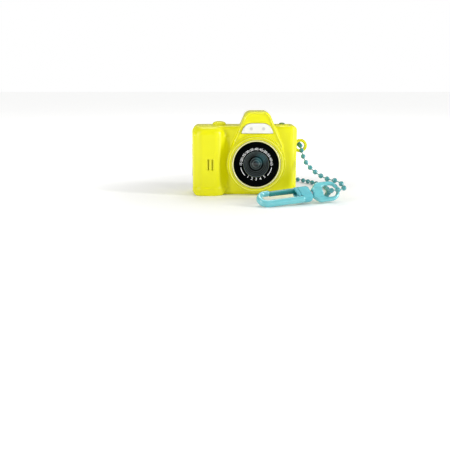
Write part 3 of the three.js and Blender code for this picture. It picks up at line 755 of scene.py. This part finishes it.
REAR_KEYS = ("up", "down", "left", "right", "ok", "mode", "playback")
SCREWS = ("case_screw_1", "case_screw_2", "case_screw_3", "case_screw_4")
KEY_HOLE = 2.95
KEYPAD_RING = 11.4
SCREW_BOSS = 2.9
SCREW_SINK = 2.35
SCREW_HOLE = 1.35
MICROPHONE_HOLE = 0.6
MICROPHONE_DROP = 14


def rear_field(x, y, z):
    field = meet(shell_field(x, y, z), (SPLIT + SEAM / 2) - y, 0.25)
    low, high = span("display_window")
    pane = rectangle(x, z, (low[0] - 0.2, low[2] - 0.2), (high[0] + 0.2, high[2] + 0.2), 2.6)
    field = carve(field, np.maximum(pane, low[1] - 0.2 - y), 0.25)
    opening = rectangle(x, z, (low[0] + 2, low[2] + 2), (high[0] - 2, high[2] - 2), 1.0)
    field = carve(field, opening, 0.1)
    pad = middle_of("button_ok")
    dish = hypot(x - pad[0], z - pad[2])
    ring = np.maximum(np.abs(dish - KEYPAD_RING) - 0.35, BODY_REAR - 0.35 - y)
    field = carve(field, ring, 0.2)
    for key in REAR_KEYS:
        spot = middle_of(f"button_{key}")
        field = carve(field, hypot(x - spot[0], z - spot[2]) - KEY_HOLE, 0.3)
    for name in SCREWS:
        spot = middle_of(name)
        from_screw = hypot(x - spot[0], z - spot[2])
        boss = np.maximum(from_screw - SCREW_BOSS, between(y, SPLIT + 0.3, BODY_REAR - 1))
        field = np.minimum(field, boss)
        field = carve(field, np.maximum(from_screw - SCREW_SINK, BODY_REAR - 1.5 - y), 0.25)
        field = carve(field, from_screw - SCREW_HOLE)
    microphone = hypot(x - pad[0], z - (pad[2] - MICROPHONE_DROP)) - MICROPHONE_HOLE
    return carve(field, microphone, 0.15)


LUG_HOLE = 3.0


def lug_field(x, y, z):
    low, high = span("strap_lug")
    middle = (low + high) / 2
    outer = (high[2] - low[2]) / 2
    centre_x = high[0] - outer
    half = (high[1] - low[1]) / 2
    from_eye = hypot(x - centre_x, z - middle[2])
    ring = meet(np.maximum(from_eye - outer, BODY_RIGHT + 0.2 - x), np.abs(y - middle[1]) - half, 0.7)
    tongue = np.maximum(
        rectangle(x, z, (low[0], middle[2] - 3), (BODY_RIGHT + 1.4, middle[2] + 3), 0.4),
        np.abs(y - middle[1]) - half,
    )
    return carve(merge(ring, tongue, 0.2), from_eye - LUG_HOLE, 0.7)


def make_shells():
    case_low, case_high = (BODY_LEFT, FRONT_LOW[1], 0), (BODY_RIGHT, BODY_REAR, HUMP_TOP)
    for name, node, field, low, high, step in (
        ("front_case", "front_shell", front_field, case_low, (BODY_RIGHT, SPLIT, HUMP_TOP), 0.42),
        ("rear_case", "rear_cover", rear_field, (BODY_LEFT, SPLIT, 0), case_high, 0.42),
        ("strap_eye", "strap_lug", lug_field, *span("strap_lug"), 0.2),
    ):
        add_skin(name, node, field, low, high, step, YELLOW, "camera")


make_shells()

# ---------------------------------------------------------------- lens


def about_lens(name, profile, sides=128, sharp=35):
    """A lathe on the lens's axis. Heights in the profile are places along Y."""
    return lathe(name, profile, (LENS_X, 0, LENS_Z), (0, 1, 0), sides, sharp)


def make_lens():
    low, high = span("lens_trim_ring")
    front, back = low[1], high[1]
    outer = (high[0] - low[0]) / 2
    inner = outer - 0.95
    profile = [(inner, back), (inner, front + 0.35), (inner + 0.3, front), (outer - 0.3, front),
               (outer, front + 0.35), (outer, back)]
    add_piece("lens_trim", about_lens("lens_trim", softened(profile, 0.2)), PALE,
              "camera", ["lens_trim_ring"])

    low, high = span("lens_bezel")
    front, back = low[1], high[1]
    outer = (high[0] - low[0]) / 2
    profile = [(CONE_MOUTH + 0.1, back), (CONE_MOUTH + 0.1, front + 0.5), (CONE_MOUTH + 0.5, front + 0.1),
               (outer - 2.6, front + 0.1), (outer - 2.4, front + 0.35), (outer - 2.1, front + 0.35),
               (outer - 1.9, front + 0.05), (outer - 0.5, front), (outer, front + 0.45), (outer, back)]
    add_piece("lens_disk", about_lens("lens_disk", softened(profile, 0.12)), BLACK,
              "camera", ["lens_bezel"])

    low, high = span("lens_cone")
    front, back = low[1], high[1]
    mouth = (high[0] - low[0]) / 2
    profile = [(mouth, back), (mouth, front), (mouth - 0.4, front)]
    rings = 6
    drop = (back - front - 0.2) / rings
    pitch = (mouth - 0.4 - CONE_THROAT) / rings
    for i in range(rings):
        radius = mouth - 0.4 - pitch * i
        y = front + 0.1 + drop * i
        profile += [(radius, y + drop * 0.7), (radius - pitch * 0.35, y + drop * 0.7),
                    (radius - pitch * 0.5, y + drop * 0.55), (radius - pitch * 0.85, y + drop * 0.55)]
    profile.append((CONE_THROAT, back))
    add_piece("lens_baffle", about_lens("lens_baffle", profile, 128, 25), CONE_BLACK,
              "camera", ["lens_cone"])

    low, high = span("front_glass")
    front, back = low[1], high[1]
    radius = (high[0] - low[0]) / 2
    profile = [(0, front)]
    for i in range(1, 13):
        angle = i / 12 * math.pi / 2
        profile.append((radius * math.sin(angle), front + 2.0 * (1 - math.cos(angle))))
    profile += [(radius, back), (0, back)]
    add_piece("lens_glass", about_lens("lens_glass", profile, 96, 60), GLASS,
              "camera", ["front_glass"])


def arc_band(radius, width, start, end, thick=0.1):
    """Corners of a thin flat arc on the lens disk, as points in its plane, front and back."""
    steps = max(2, int(abs(end - start) / 3))
    rim = []
    for i in range(steps + 1):
        angle = math.radians(start + (end - start) * i / steps)
        for r in (radius - width / 2, radius + width / 2):
            rim.append((r * math.sin(angle), r * math.cos(angle)))
    work = bmesh.new()
    rows = [[work.verts.new((LENS_X + x, PRINT_FACE + depth, LENS_Z + z)) for x, z in rim]
            for depth in (0, thick)]
    for i in range(steps):
        a, b, c, d = 2 * i, 2 * i + 1, 2 * i + 3, 2 * i + 2
        work.faces.new([rows[0][k] for k in (a, b, c, d)])
        work.faces.new([rows[1][k] for k in (d, c, b, a)])
        work.faces.new([rows[0][a], rows[0][d], rows[1][d], rows[1][a]])
        work.faces.new([rows[0][c], rows[0][b], rows[1][b], rows[1][c]])
    for i in (0, 2 * steps):
        work.faces.new([rows[0][i + 1], rows[0][i], rows[1][i], rows[1][i + 1]])
    bmesh.ops.recalc_face_normals(work, faces=work.faces)
    return work


def digit_mesh(text, size, radius, angle, inward):
    """Digits of the focus scale, set round the lens on the disk."""
    curve = bpy.data.curves.new("scale_digits", "FONT")
    curve.body = text
    curve.size = size
    curve.align_x = "CENTER"
    curve.align_y = "CENTER"
    curve.extrude = 0.05
    curve.resolution_u = 3
    holder = bpy.data.objects.new("scale_digits", curve)
    bpy.context.scene.collection.objects.link(holder)
    bpy.context.view_layer.update()
    mesh = bpy.data.meshes.new_from_object(holder)
    bpy.data.objects.remove(holder)
    spin = math.radians(angle) + (math.pi if inward else 0)
    upright = Matrix.Rotation(math.pi / 2, 4, "X")
    turn = Matrix.Rotation(spin, 4, "Y")
    place = Vector((
        LENS_X + radius * math.sin(math.radians(angle)),
        PRINT_FACE + 0.05,
        LENS_Z + radius * math.cos(math.radians(angle)),
    ))
    mesh.transform(Matrix.Translation(place) @ turn @ upright)
    work = bmesh.new()
    work.from_mesh(mesh)
    bpy.data.meshes.remove(mesh)
    return work


def make_lens_scale():
    """A generic focus scale: numbers with ticks over the top, and an arc on each side."""
    parts = []
    count = 11
    for i in range(count):
        angle = (i - (count - 1) / 2) * 17.6
        parts.append(digit_mesh(str(15 + 5 * i), 2.6, 11.5, angle, False))
        if i < count - 1:
            parts.append(arc_band(11.5, 1.5, angle + 8.4, angle + 9.2))
    for side in (-1, 1):
        parts.append(arc_band(11.8, 0.42, side * 101, side * 134))
    for i in range(5):
        parts.append(digit_mesh(str(5 - i), 3.0, 11.1, 180 + (i - 2) * 17, True))
    points = []
    faces = []
    for work in parts:
        corners, loops = emptied(work)
        faces += [[len(points) + k for k in loop] for loop in loops]
        points += corners
    mesh = mesh_from("lens_scale", points, faces, 30)
    add_piece("lens_scale", mesh, PRINT, "camera")


make_lens()
make_lens_scale()


# ---------------------------------------------------------------- flash and sound slots


def make_flash():
    low, high = span("flash_window")

    def window(x, y, z):
        return meet(flash_outline(x, z), between(y, low[1], high[1]), 0.45)

    add_skin("flash_lens", "flash_window", window, low, high, 0.25, FLASH_CLEAR, "camera")


def make_speaker_gauze():
    """A woven cloth stretched behind the two sound slots."""
    middle = sum(SLOT_SPOTS) / 2
    half_width, half_height = 4.2, 6.0
    centre_z = (SLOT_LOW + SLOT_HIGH) / 2
    columns, rows = 28, 40
    points = []
    for depth in (0.0, 0.35):
        for j in range(rows + 1):
            for i in range(columns + 1):
                weave = 0.06 * (-1) ** (i + j)
                points.append((
                    middle + half_width * (2 * i / columns - 1),
                    GRIP_FRONT + WALL + 0.15 + depth + weave,
                    centre_z + half_height * (2 * j / rows - 1),
                ))
    layer = (columns + 1) * (rows + 1)
    faces = []
    for j in range(rows):
        for i in range(columns):
            a = j * (columns + 1) + i
            quad = [a, a + 1, a + columns + 2, a + columns + 1]
            faces.append(quad)
            faces.append([layer + k for k in reversed(quad)])
    edge = list(range(columns + 1))
    edge += [j * (columns + 1) + columns for j in range(1, rows + 1)]
    edge += [rows * (columns + 1) + i for i in range(columns - 1, -1, -1)]
    edge += [j * (columns + 1) for j in range(rows - 1, 0, -1)]
    for a, b in zip(edge, edge[1:] + edge[:1]):
        faces.append([b, a, layer + a, layer + b])
    mesh = outward(mesh_from("speaker_gauze", points, faces))
    add_piece("speaker_gauze", mesh, GAUZE, "camera")


make_flash()
make_speaker_gauze()


# ---------------------------------------------------------------- buttons


def make_top_button(name, body, material, crown, blend):
    """A push button through the top wall: a crowned cap, its flange and its stem."""
    low, high = span(f"{name}_button")
    middle = (low + high) / 2
    radius = (high[0] - low[0]) / 2 - 0.6
    under = BODY_TOP - WALL - SEAM
    top = high[2]
    profile = [(0, low[2]), (1.6, low[2]), (1.6, under - 1.2), (radius + 0.6, under - 1.2),
               (radius + 0.6, under), (radius, under), (radius, top - crown)]
    steps = 8
    for i in range(1, steps):
        angle = i / steps * math.pi / 2
        rounded = top - crown + crown * math.sin(angle) * 0.92
        profile.append((radius - blend + blend * math.cos(angle), rounded))
    profile += [((radius - blend) * 0.6, top - crown * 0.03), (0, top)]
    mesh = lathe(f"{name}_cap", profile, (middle[0], middle[1], 0), (0, 0, 1), 72, 40)
    add_piece(f"{name}_cap", mesh, material, body, [f"{name}_button"])


def key_mark(kind, spot, top):
    """A raised mark on a rear key: a triangle that points its way, a round dot or three bars."""
    x, z = spot
    work = bmesh.new()
    outlines = []
    if kind in ("up", "down", "left", "right", "playback"):
        turn = {"up": 90, "down": -90, "left": 0, "right": 180, "playback": 180}[kind]
        size = 1.15
        outlines.append([
            (size * math.cos(math.radians(turn + k * 120)), size * math.sin(math.radians(turn + k * 120)))
            for k in range(3)
        ])
    elif kind == "ok":
        outlines.append([
            (0.8 * math.cos(2 * math.pi * k / 24), 0.8 * math.sin(2 * math.pi * k / 24)) for k in range(24)
        ])
    else:
        for level in (-0.7, 0.0, 0.7):
            outlines.append([(-0.95, level - 0.16), (0.95, level - 0.16), (0.95, level + 0.16),
                             (-0.95, level + 0.16)])
    for outline in outlines:
        base = [work.verts.new((x + u, top - 0.3, z + v)) for u, v in outline]
        lid = [work.verts.new((x + u * 0.94, top + 0.12, z + v * 0.94)) for u, v in outline]
        work.faces.new(base)
        work.faces.new(lid)
        for i in range(len(outline)):
            j = (i + 1) % len(outline)
            work.faces.new([base[i], base[j], lid[j], lid[i]])
    bmesh.ops.recalc_face_normals(work, faces=work.faces)
    return mesh_from(f"mark_{kind}", *emptied(work), 20)


def make_rear_key(kind):
    low, high = span(f"button_{kind}")
    middle = (low + high) / 2
    top = high[1]
    radius = (high[0] - low[0]) / 2 - 0.7
    inside = BODY_REAR - WALL - SEAM
    profile = [(0, low[1]), (1.2, low[1]), (1.2, inside - 0.8), (radius + 0.7, inside - 0.8),
               (radius + 0.7, inside), (radius, inside), (radius, top - 0.45)]
    for i in range(1, 6):
        angle = i / 6 * math.pi / 2
        profile.append((radius - 0.45 + 0.45 * math.cos(angle), top - 0.45 + 0.45 * math.sin(angle)))
    profile += [(radius - 0.5, top), (radius * 0.6, top - 0.16), (0, top - 0.22)]
    mesh = lathe(f"key_{kind}", profile, (middle[0], 0, middle[2]), (0, 1, 0), 64, 40)
    add_piece(f"key_{kind}", mesh, KEY_TEAL, f"key_{kind}", [f"button_{kind}"])
    mark = key_mark(kind, (middle[0], middle[2]), top - 0.2)
    add_piece(f"mark_{kind}", mark, PRINT, f"key_{kind}")


make_top_button("shutter", "shutter", YELLOW_BUTTON_PAINTED_SHADE, 2.4, 4.4)
make_top_button("power", "power", POWER_GREEN, 0.9, 1.1)
for kind in REAR_KEYS:
    make_rear_key(kind)


# ---------------------------------------------------------------- rear and side


def make_display():
    low, high = span("display_window")

    def pane(x, y, z):
        outline = rectangle(x, z, (low[0], low[2]), (high[0], high[2]), 2.4)
        return meet(outline, between(y, low[1], high[1]), 0.3)

    add_skin("display_pane", "display_window", pane, low, high, 0.45, SCREEN, "camera")

    def area(x, y, z):
        outline = rectangle(x, z, (low[0] + 3, low[2] + 4.2), (high[0] - 3, high[2] - 2.6), 0.6)
        return meet(outline, between(y, high[1] - 0.3, high[1] + 0.06), 0.05)

    add_piece("display_area", skin("display_area", area, low, high, 0.45, 0), DISPLAY, "camera")


def make_port_cover():
    low, high = span("port_cover")
    middle_y = middle_of("port_cover")[1]

    def flap(x, y, z):
        outline = rectangle(y, z, low[1:], high[1:], 0.9)
        plate = meet(outline, between(x, low[0], high[0]), 0.4)
        nail = hypot(x - low[0] + 0.35, z - high[2] + 2.2) - 0.9
        plate = carve(plate, np.maximum(nail, np.abs(y - middle_y) - 2.6), 0.15)
        rib = between(y, middle_y - 2.4, middle_y + 2.4)
        for level in (0, 1.1, 2.2):
            bead = np.maximum(hypot(x - low[0] - 0.1, z - high[2] + 4.6 + level) - 0.28, rib)
            plate = merge(plate, bead, 0.1)
        return plate

    add_skin("port_flap", "port_cover", flap, low, high, 0.22, RUBBER, "port_flap")


def make_screws():
    low, high = span(SCREWS[0])
    head = (high[0] - low[0]) / 2
    back, tip = high[1], low[1]

    def screw(x, y, z):
        """A pan head with a cross recess on a threaded shank, on the Y axis."""
        out = hypot(x, z)
        dome = meet(out - head, between(y, back - 1.5, back - 0.06 * out ** 2), 0.3)
        turn = np.arctan2(z, x) / (2 * math.pi) + y / 0.9
        wave = np.abs(turn - np.round(turn)) * 2
        shank = np.maximum(out - 0.92 - 0.22 * (1 - wave), between(y, tip + 0.3, back - 1.2))
        point = np.maximum(shank, out - 0.3 - (y - tip) * 0.8)
        cross = np.minimum(
            np.maximum(np.abs(x) - 0.24, np.abs(z) - 1.25), np.maximum(np.abs(z) - 0.24, np.abs(x) - 1.25)
        )
        recess = np.maximum(cross, back - 0.9 - y)
        return carve(np.minimum(dome, point), recess, 0.08)

    mesh = skin("screw", screw, (-head, tip, -head), (head, back, head), 0.15, 1)
    for name in SCREWS:
        middle = middle_of(name)
        copy = mesh.copy()
        copy.transform(Matrix.Translation(Vector((middle[0], 0, middle[2])) * MM))
        add_piece(f"cross_{name}", copy, STEEL, "camera", [name])
    bpy.data.meshes.remove(mesh)


make_display()
make_port_cover()
make_screws()


# ---------------------------------------------------------------- bead chain


def chain_points(spacing):
    """Points at an even spacing along a centripetal Catmull-Rom curve through the route."""
    knots = [Vector(p) / MM for p in CHAIN_ROUTE]
    knots = [2 * knots[0] - knots[1]] + knots + [2 * knots[-1] - knots[-2]]
    fine = []
    for p0, p1, p2, p3 in zip(knots, knots[1:], knots[2:], knots[3:]):
        t0 = 0.0
        t1 = t0 + (p1 - p0).length ** 0.5
        t2 = t1 + (p2 - p1).length ** 0.5
        t3 = t2 + (p3 - p2).length ** 0.5
        for i in range(40):
            t = t1 + (t2 - t1) * i / 40
            a1 = (t1 - t) / (t1 - t0) * p0 + (t - t0) / (t1 - t0) * p1
            a2 = (t2 - t) / (t2 - t1) * p1 + (t - t1) / (t2 - t1) * p2
            a3 = (t3 - t) / (t3 - t2) * p2 + (t - t2) / (t3 - t2) * p3
            b1 = (t2 - t) / (t2 - t0) * a1 + (t - t0) / (t2 - t0) * a2
            b2 = (t3 - t) / (t3 - t1) * a2 + (t - t1) / (t3 - t1) * a3
            fine.append((t2 - t) / (t2 - t1) * b1 + (t - t1) / (t2 - t1) * b2)
    fine.append(knots[-2])
    lengths = [0.0]
    for a, b in zip(fine, fine[1:]):
        lengths.append(lengths[-1] + (b - a).length)
    count = round(lengths[-1] / spacing)
    result = []
    k = 0
    for i in range(count + 1):
        want = lengths[-1] * i / count
        while k < len(fine) - 2 and lengths[k + 1] < want:
            k += 1
        part = (want - lengths[k]) / max(1e-9, lengths[k + 1] - lengths[k])
        result.append(fine[k].lerp(fine[k + 1], min(1.0, part)))
    return result, lengths[-1]


def bead_profile():
    """Half outline of a bead, from one hole to the other: a ball with a small rolled lip."""
    radius = BEAD_DIAMETER / 2
    lip = 0.55
    start = math.asin(lip / radius)
    rows = [(lip * 0.7, -math.cos(start) * radius + 0.1), (lip, -math.cos(start) * radius - 0.06)]
    for i in range(1, 15):
        angle = start + (math.pi - 2 * start) * i / 15
        rows.append((radius * math.sin(angle), -radius * math.cos(angle)))
    rows += [(lip, math.cos(start) * radius + 0.06), (lip * 0.7, math.cos(start) * radius - 0.1)]
    return rows


def make_chain():
    steps_per_bead = 9
    dense, length = chain_points(BEAD_PITCH / steps_per_bead)
    points = []
    faces = []

    def sweep(centre, direction, profile, sides):
        w = direction.normalized()
        u = w.orthogonal().normalized()
        v = w.cross(u)
        first = len(points)
        for radius, height in profile:
            points.extend(circle(centre + w * height, u, v, radius, sides))
        for row in range(len(profile) - 1):
            for k in range(sides):
                a = first + row * sides + k
                b = first + row * sides + (k + 1) % sides
                faces.append([a, b, b + sides, a + sides])
        last = first + (len(profile) - 1) * sides
        faces.append([first + k for k in reversed(range(sides))])
        faces.append([last + k for k in range(sides)])

    count = (len(dense) - 1) // steps_per_bead
    ball = bead_profile()
    for i in range(count):
        k = i * steps_per_bead + steps_per_bead // 2
        sweep(dense[k], dense[k + 1] - dense[k - 1], ball, 24)
    link = 0.42
    rows = []
    side_count = 8
    u = (dense[1] - dense[0]).orthogonal().normalized()
    for k, centre in enumerate(dense):
        w = (dense[min(k + 1, len(dense) - 1)] - dense[max(k - 1, 0)]).normalized()
        u = (u - w * u.dot(w)).normalized()
        v = w.cross(u)
        rows.append(len(points))
        points += circle(centre, u, v, link, side_count)
    for a, b in zip(rows, rows[1:]):
        for n in range(side_count):
            m = (n + 1) % side_count
            faces.append([a + n, a + m, b + m, b + n])
    faces.append([rows[0] + n for n in reversed(range(side_count))])
    faces.append([rows[-1] + n for n in range(side_count)])
    chain = add_piece("bead_string", mesh_from("bead_string", points, faces, 50), TEAL_BEAD,
                      "camera", ["bead_chain"])

    low, high = span("chain_clasp")
    middle = (low + high) / 2
    radius = (high[0] - low[0]) / 2
    profile = [(0, low[2]), (1.0, low[2]), (1.3, low[2] + 0.25), (radius - 0.25, low[2] + 0.7),
               (radius, low[2] + 1.3), (radius, middle[2] - 0.5), (radius - 0.35, middle[2] - 0.3),
               (radius - 0.35, middle[2] + 0.3), (radius, middle[2] + 0.5), (radius, high[2] - 1.3),
               (radius - 0.25, high[2] - 0.7), (1.3, high[2] - 0.25), (1.0, high[2]), (0, high[2])]
    mesh = lathe("clasp_barrel", profile, (middle[0], middle[1], 0), (0, 0, 1), 48, 30)
    add_piece("clasp_barrel", mesh, TEAL_BEAD, "camera", ["chain_clasp"])
    return chain, dense, length


# ---------------------------------------------------------------- snap hook


def hook_place(twist=0.0):
    """From the hook's own space to the frame, turned about its length by twist."""
    turn = Matrix.Rotation(twist, 3, HOOK_X)
    basis = Matrix((HOOK_X, turn @ HOOK_Y, turn @ HOOK_Z)).transposed()
    return Matrix.Translation(HOOK_NOSE) @ basis.to_4x4()


def arm_field(x, y, z):
    """The bent arm: thick and softly squared, thinning into the stub that the gate meets."""
    near = hypot(y + ARM_HALF, np.maximum(ARM_BEND - x, 0) + np.maximum(x - COLLAR_START - 3, 0))
    stub = hypot(y - ARM_HALF, np.maximum(ARM_BEND - x, 0) + np.maximum(x - ARM_STUB + 0.6, 0))
    bend = np.where(x < ARM_BEND, np.abs(hypot(x - ARM_BEND, y) - ARM_HALF), 1e3)
    away = np.minimum(np.minimum(near, stub), bend)
    slim = 0.45 * rise(y, 0, ARM_HALF)
    wide, tall = 2.15 - slim, 2.6 - slim
    up = z - 0.45
    return (((away / wide) ** 2.4 + (np.abs(up) / tall) ** 2.4) ** (1 / 2.4) - 1) * wide


def collar_field(x, y, z):
    section = rectangle(y, z, (-6.7, -3.7), (6.7, 3.7), 3.2)
    body = meet(meet(section, COLLAR_START - x, 0.8), x - COLLAR_END, 2.8)
    groove = np.maximum(np.abs(x - COLLAR_START - 2.2) - 0.42, -(section + 0.6))
    body = carve(body, groove, 0.15)
    knurl = 0.09 * np.sin(2 * math.pi * x / 1.05) * np.cos(2 * math.pi * (y + z) / 1.2)
    body = body + np.where((x > COLLAR_START + 3.2) & (x < COLLAR_END - 1.6), knurl, 0)
    socket = np.maximum(arm_field(x, y, z) - 0.25, x - COLLAR_START - 3.4)
    body = carve(body, socket, 0.1)
    slot = np.maximum(rectangle(y, z, (2.2, -2.0), (7.7, 2.0), 0.3), x - COLLAR_START - 4.4)
    body = carve(body, slot, 0.15)
    head = np.maximum(hypot(y, z) - PIN_HEAD, x - PIN_HEAD_END)
    return carve(carve(body, head), hypot(y, z) - PIN_HOLE, 0.2)


def gate_field(x, y, z):
    across = y - GATE_SIDE
    wide = 1.5 + 0.25 * rise(x, 14, 28)
    leaf = meet(meet(np.abs(across) - wide, np.abs(z) - PLATE_HALF, 1.0),
                between(x, 10.8, GATE_PIVOT + 0.4), 0.7)
    knuckle = meet(hypot(x - GATE_PIVOT, across) - PLATE_HALF, np.abs(z) - PLATE_HALF, 0.3)
    body = merge(leaf, knuckle, 0.5)
    for k in range(4):
        notch = hypot(x - 17.0 - 1.3 * k, across - wide - 0.25) - 0.5
        body = carve(body, notch, 0.15)
    return body


def eye_field(x, y, z):
    swell = np.sin(0.5 * math.pi * np.clip((x - EYE_START) / 5.6, 0, 1))
    reach = EYE_NECK + (EYE_HALF - EYE_NECK) * swell
    end = EYE_END - EYE_HALF
    outline = np.where(x < end, np.abs(y) - reach, hypot(x - end, y) - EYE_HALF)
    outline = meet(outline, EYE_START - x, 0.6)
    low_end, high_end, inner = EYE_HOLE
    hole = hypot(x - np.clip(x, low_end, high_end), y) - inner
    plate = meet(carve(outline, hole, 0.0), np.abs(z) - PLATE_HALF, 1.7)
    hub = meet(hypot(y, z) - 3.1, between(x, EYE_START, 50.0), 1.0)
    hub = np.maximum(hub, -hole)
    body = merge(plate, hub, 1.6)
    return carve(body, np.maximum(hypot(y, z) - PIN_HOLE, x - PIN_TIP), 0.2)


def make_hook():
    place = hook_place()
    add_skin("hook_arm", "hook_frame", arm_field, (-0.5, -8.2, -2.6), (33.2, 8.2, 3.6), 0.3,
             TEAL, "hook", 2, place)
    add_skin("hook_barrel", "hook_collar", collar_field, (COLLAR_START, -6.9, -3.9),
             (COLLAR_END, 6.9, 3.9), 0.2, TEAL_COLLAR, "hook", 1, place)
    add_skin("hook_latch", "hook_gate", gate_field, (10.6, 3.4, -1.9), (GATE_PIVOT + 2, 7.3, 1.9), 0.2,
             TEAL_GATE, "gate", 2, place)
    add_skin("hook_eye", "swivel_eye", eye_field, (EYE_START, -7.9, -3.2), (EYE_END + 0.2, 7.9, 3.2), 0.3,
             TEAL, "camera", 2, hook_place(EYE_TWIST))



def declare_chain(chain, dense, length):
    on_chain = [bpy.data.objects[n] for n in ("clasp_barrel", "hook_arm", "hook_barrel", "hook_latch",
                                              "hook_eye")]
    on_chain.append(frame["nodes"]["swivel_pin"])


make_hook()
declare_chain(*make_chain())


# ---------------------------------------------------------------- CAD pieces that stay

NODE_FINISH = (
    (YELLOW, ("lens_barrel",)),
    (WHITE, ("flash_reflector",)),
    (FOIL, ("battery",)),
    (LED_GREY, ("flash_led_left", "flash_led_right")),
    (DARK, ("lens_module", "speaker", "display_module", "keypad_sheet")),
    (BOARD, ("image_sensor_board", "flash_board", "main_board", "top_board")),
    (STEEL, ("microphone", "usb_socket", "card_socket", "shutter_switch", "power_switch", "swivel_pin")),
)
for finish, nodes in NODE_FINISH:
    for node in nodes:
        mesh = frame["nodes"][node].data
        mesh.materials.clear()
        mesh.materials.append(finish)


# ---------------------------------------------------------------- stage and light


def make_stage():
    """A wide pale floor that glows softly away from the toy, as a lit backdrop does."""
    half = 3000.0
    points = [(-half, -half, -0.02), (half, -half, -0.02), (half, half, -0.02), (-half, half, -0.02)]
    faces = [(0, 1, 2, 3)]
    shader = Shader("pale_floor")
    shader.paint(shader.ramp(shader.noise(8.0), rgba(0.90, 0.90, 0.885), rgba(0.93, 0.93, 0.915)))
    away = shader.node("VectorMath", links={0: shader.coordinates.outputs["Object"]},
                       operation="LENGTH").outputs["Value"]
    # Painted light: the floor's emission rises from 0.05 at 5 cm from the middle to 0.6 at 22 cm, so it
    # glows like a lit backdrop.
    shader.paint(shader.fade(away, 0.05, 0.22, 0.05, 0.6), "Emission Strength")
    shader.set(Roughness=0.7, Emission_Color=rgba(1.0, 1.0, 1.0))
    mesh = mesh_from("floor", points, faces)
    mesh.materials.append(shader.material)
    floor = bpy.data.objects.new("floor", mesh)
    bpy.context.scene.collection.objects.link(floor)


def add_light(name, place, target, size, power, size_y=None):
    data = bpy.data.lights.new(name, "AREA")
    data.energy = power
    data.shape = "RECTANGLE"
    data.size = size
    data.size_y = size_y or size
    obj = bpy.data.objects.new(name, data)
    obj.location = place
    direction = Vector(target) - Vector(place)
    obj.rotation_euler = direction.to_track_quat("-Z", "Y").to_euler()
    bpy.context.scene.collection.objects.link(obj)


def make_light():
    world = bpy.data.worlds.new("studio")
    world.use_nodes = True
    nodes = world.node_tree.nodes
    nodes["Background"].inputs["Color"].default_value = rgba(1.0, 1.0, 1.0)
    seen = nodes.new("ShaderNodeMapRange")
    seen.inputs["To Min"].default_value = 0.37
    seen.inputs["To Max"].default_value = 1.0
    path = nodes.new("ShaderNodeLightPath")
    world.node_tree.links.new(path.outputs["Is Camera Ray"], seen.inputs["Value"])
    world.node_tree.links.new(seen.outputs["Result"], nodes["Background"].inputs["Strength"])
    bpy.context.scene.world = world
    target = (0.0, 0.0, 0.03)
    add_light("key", (-0.45, -0.5, 0.55), target, 0.3, 0.8)
    add_light("overhead", (0.0, 0.3, 0.7), target, 0.35, 1.5)
    add_light("left_strip", (-0.52, -0.36, 0.2), target, 0.07, 1.5, 0.5)
    add_light("right_strip", (0.58, -0.2, 0.2), target, 0.06, 3.0, 0.5)
    add_light("spark", (0.3, -0.5, 0.4), target, 0.03, 0.25)
    bpy.context.scene.view_settings.view_transform = "Standard"


make_stage()
make_light()
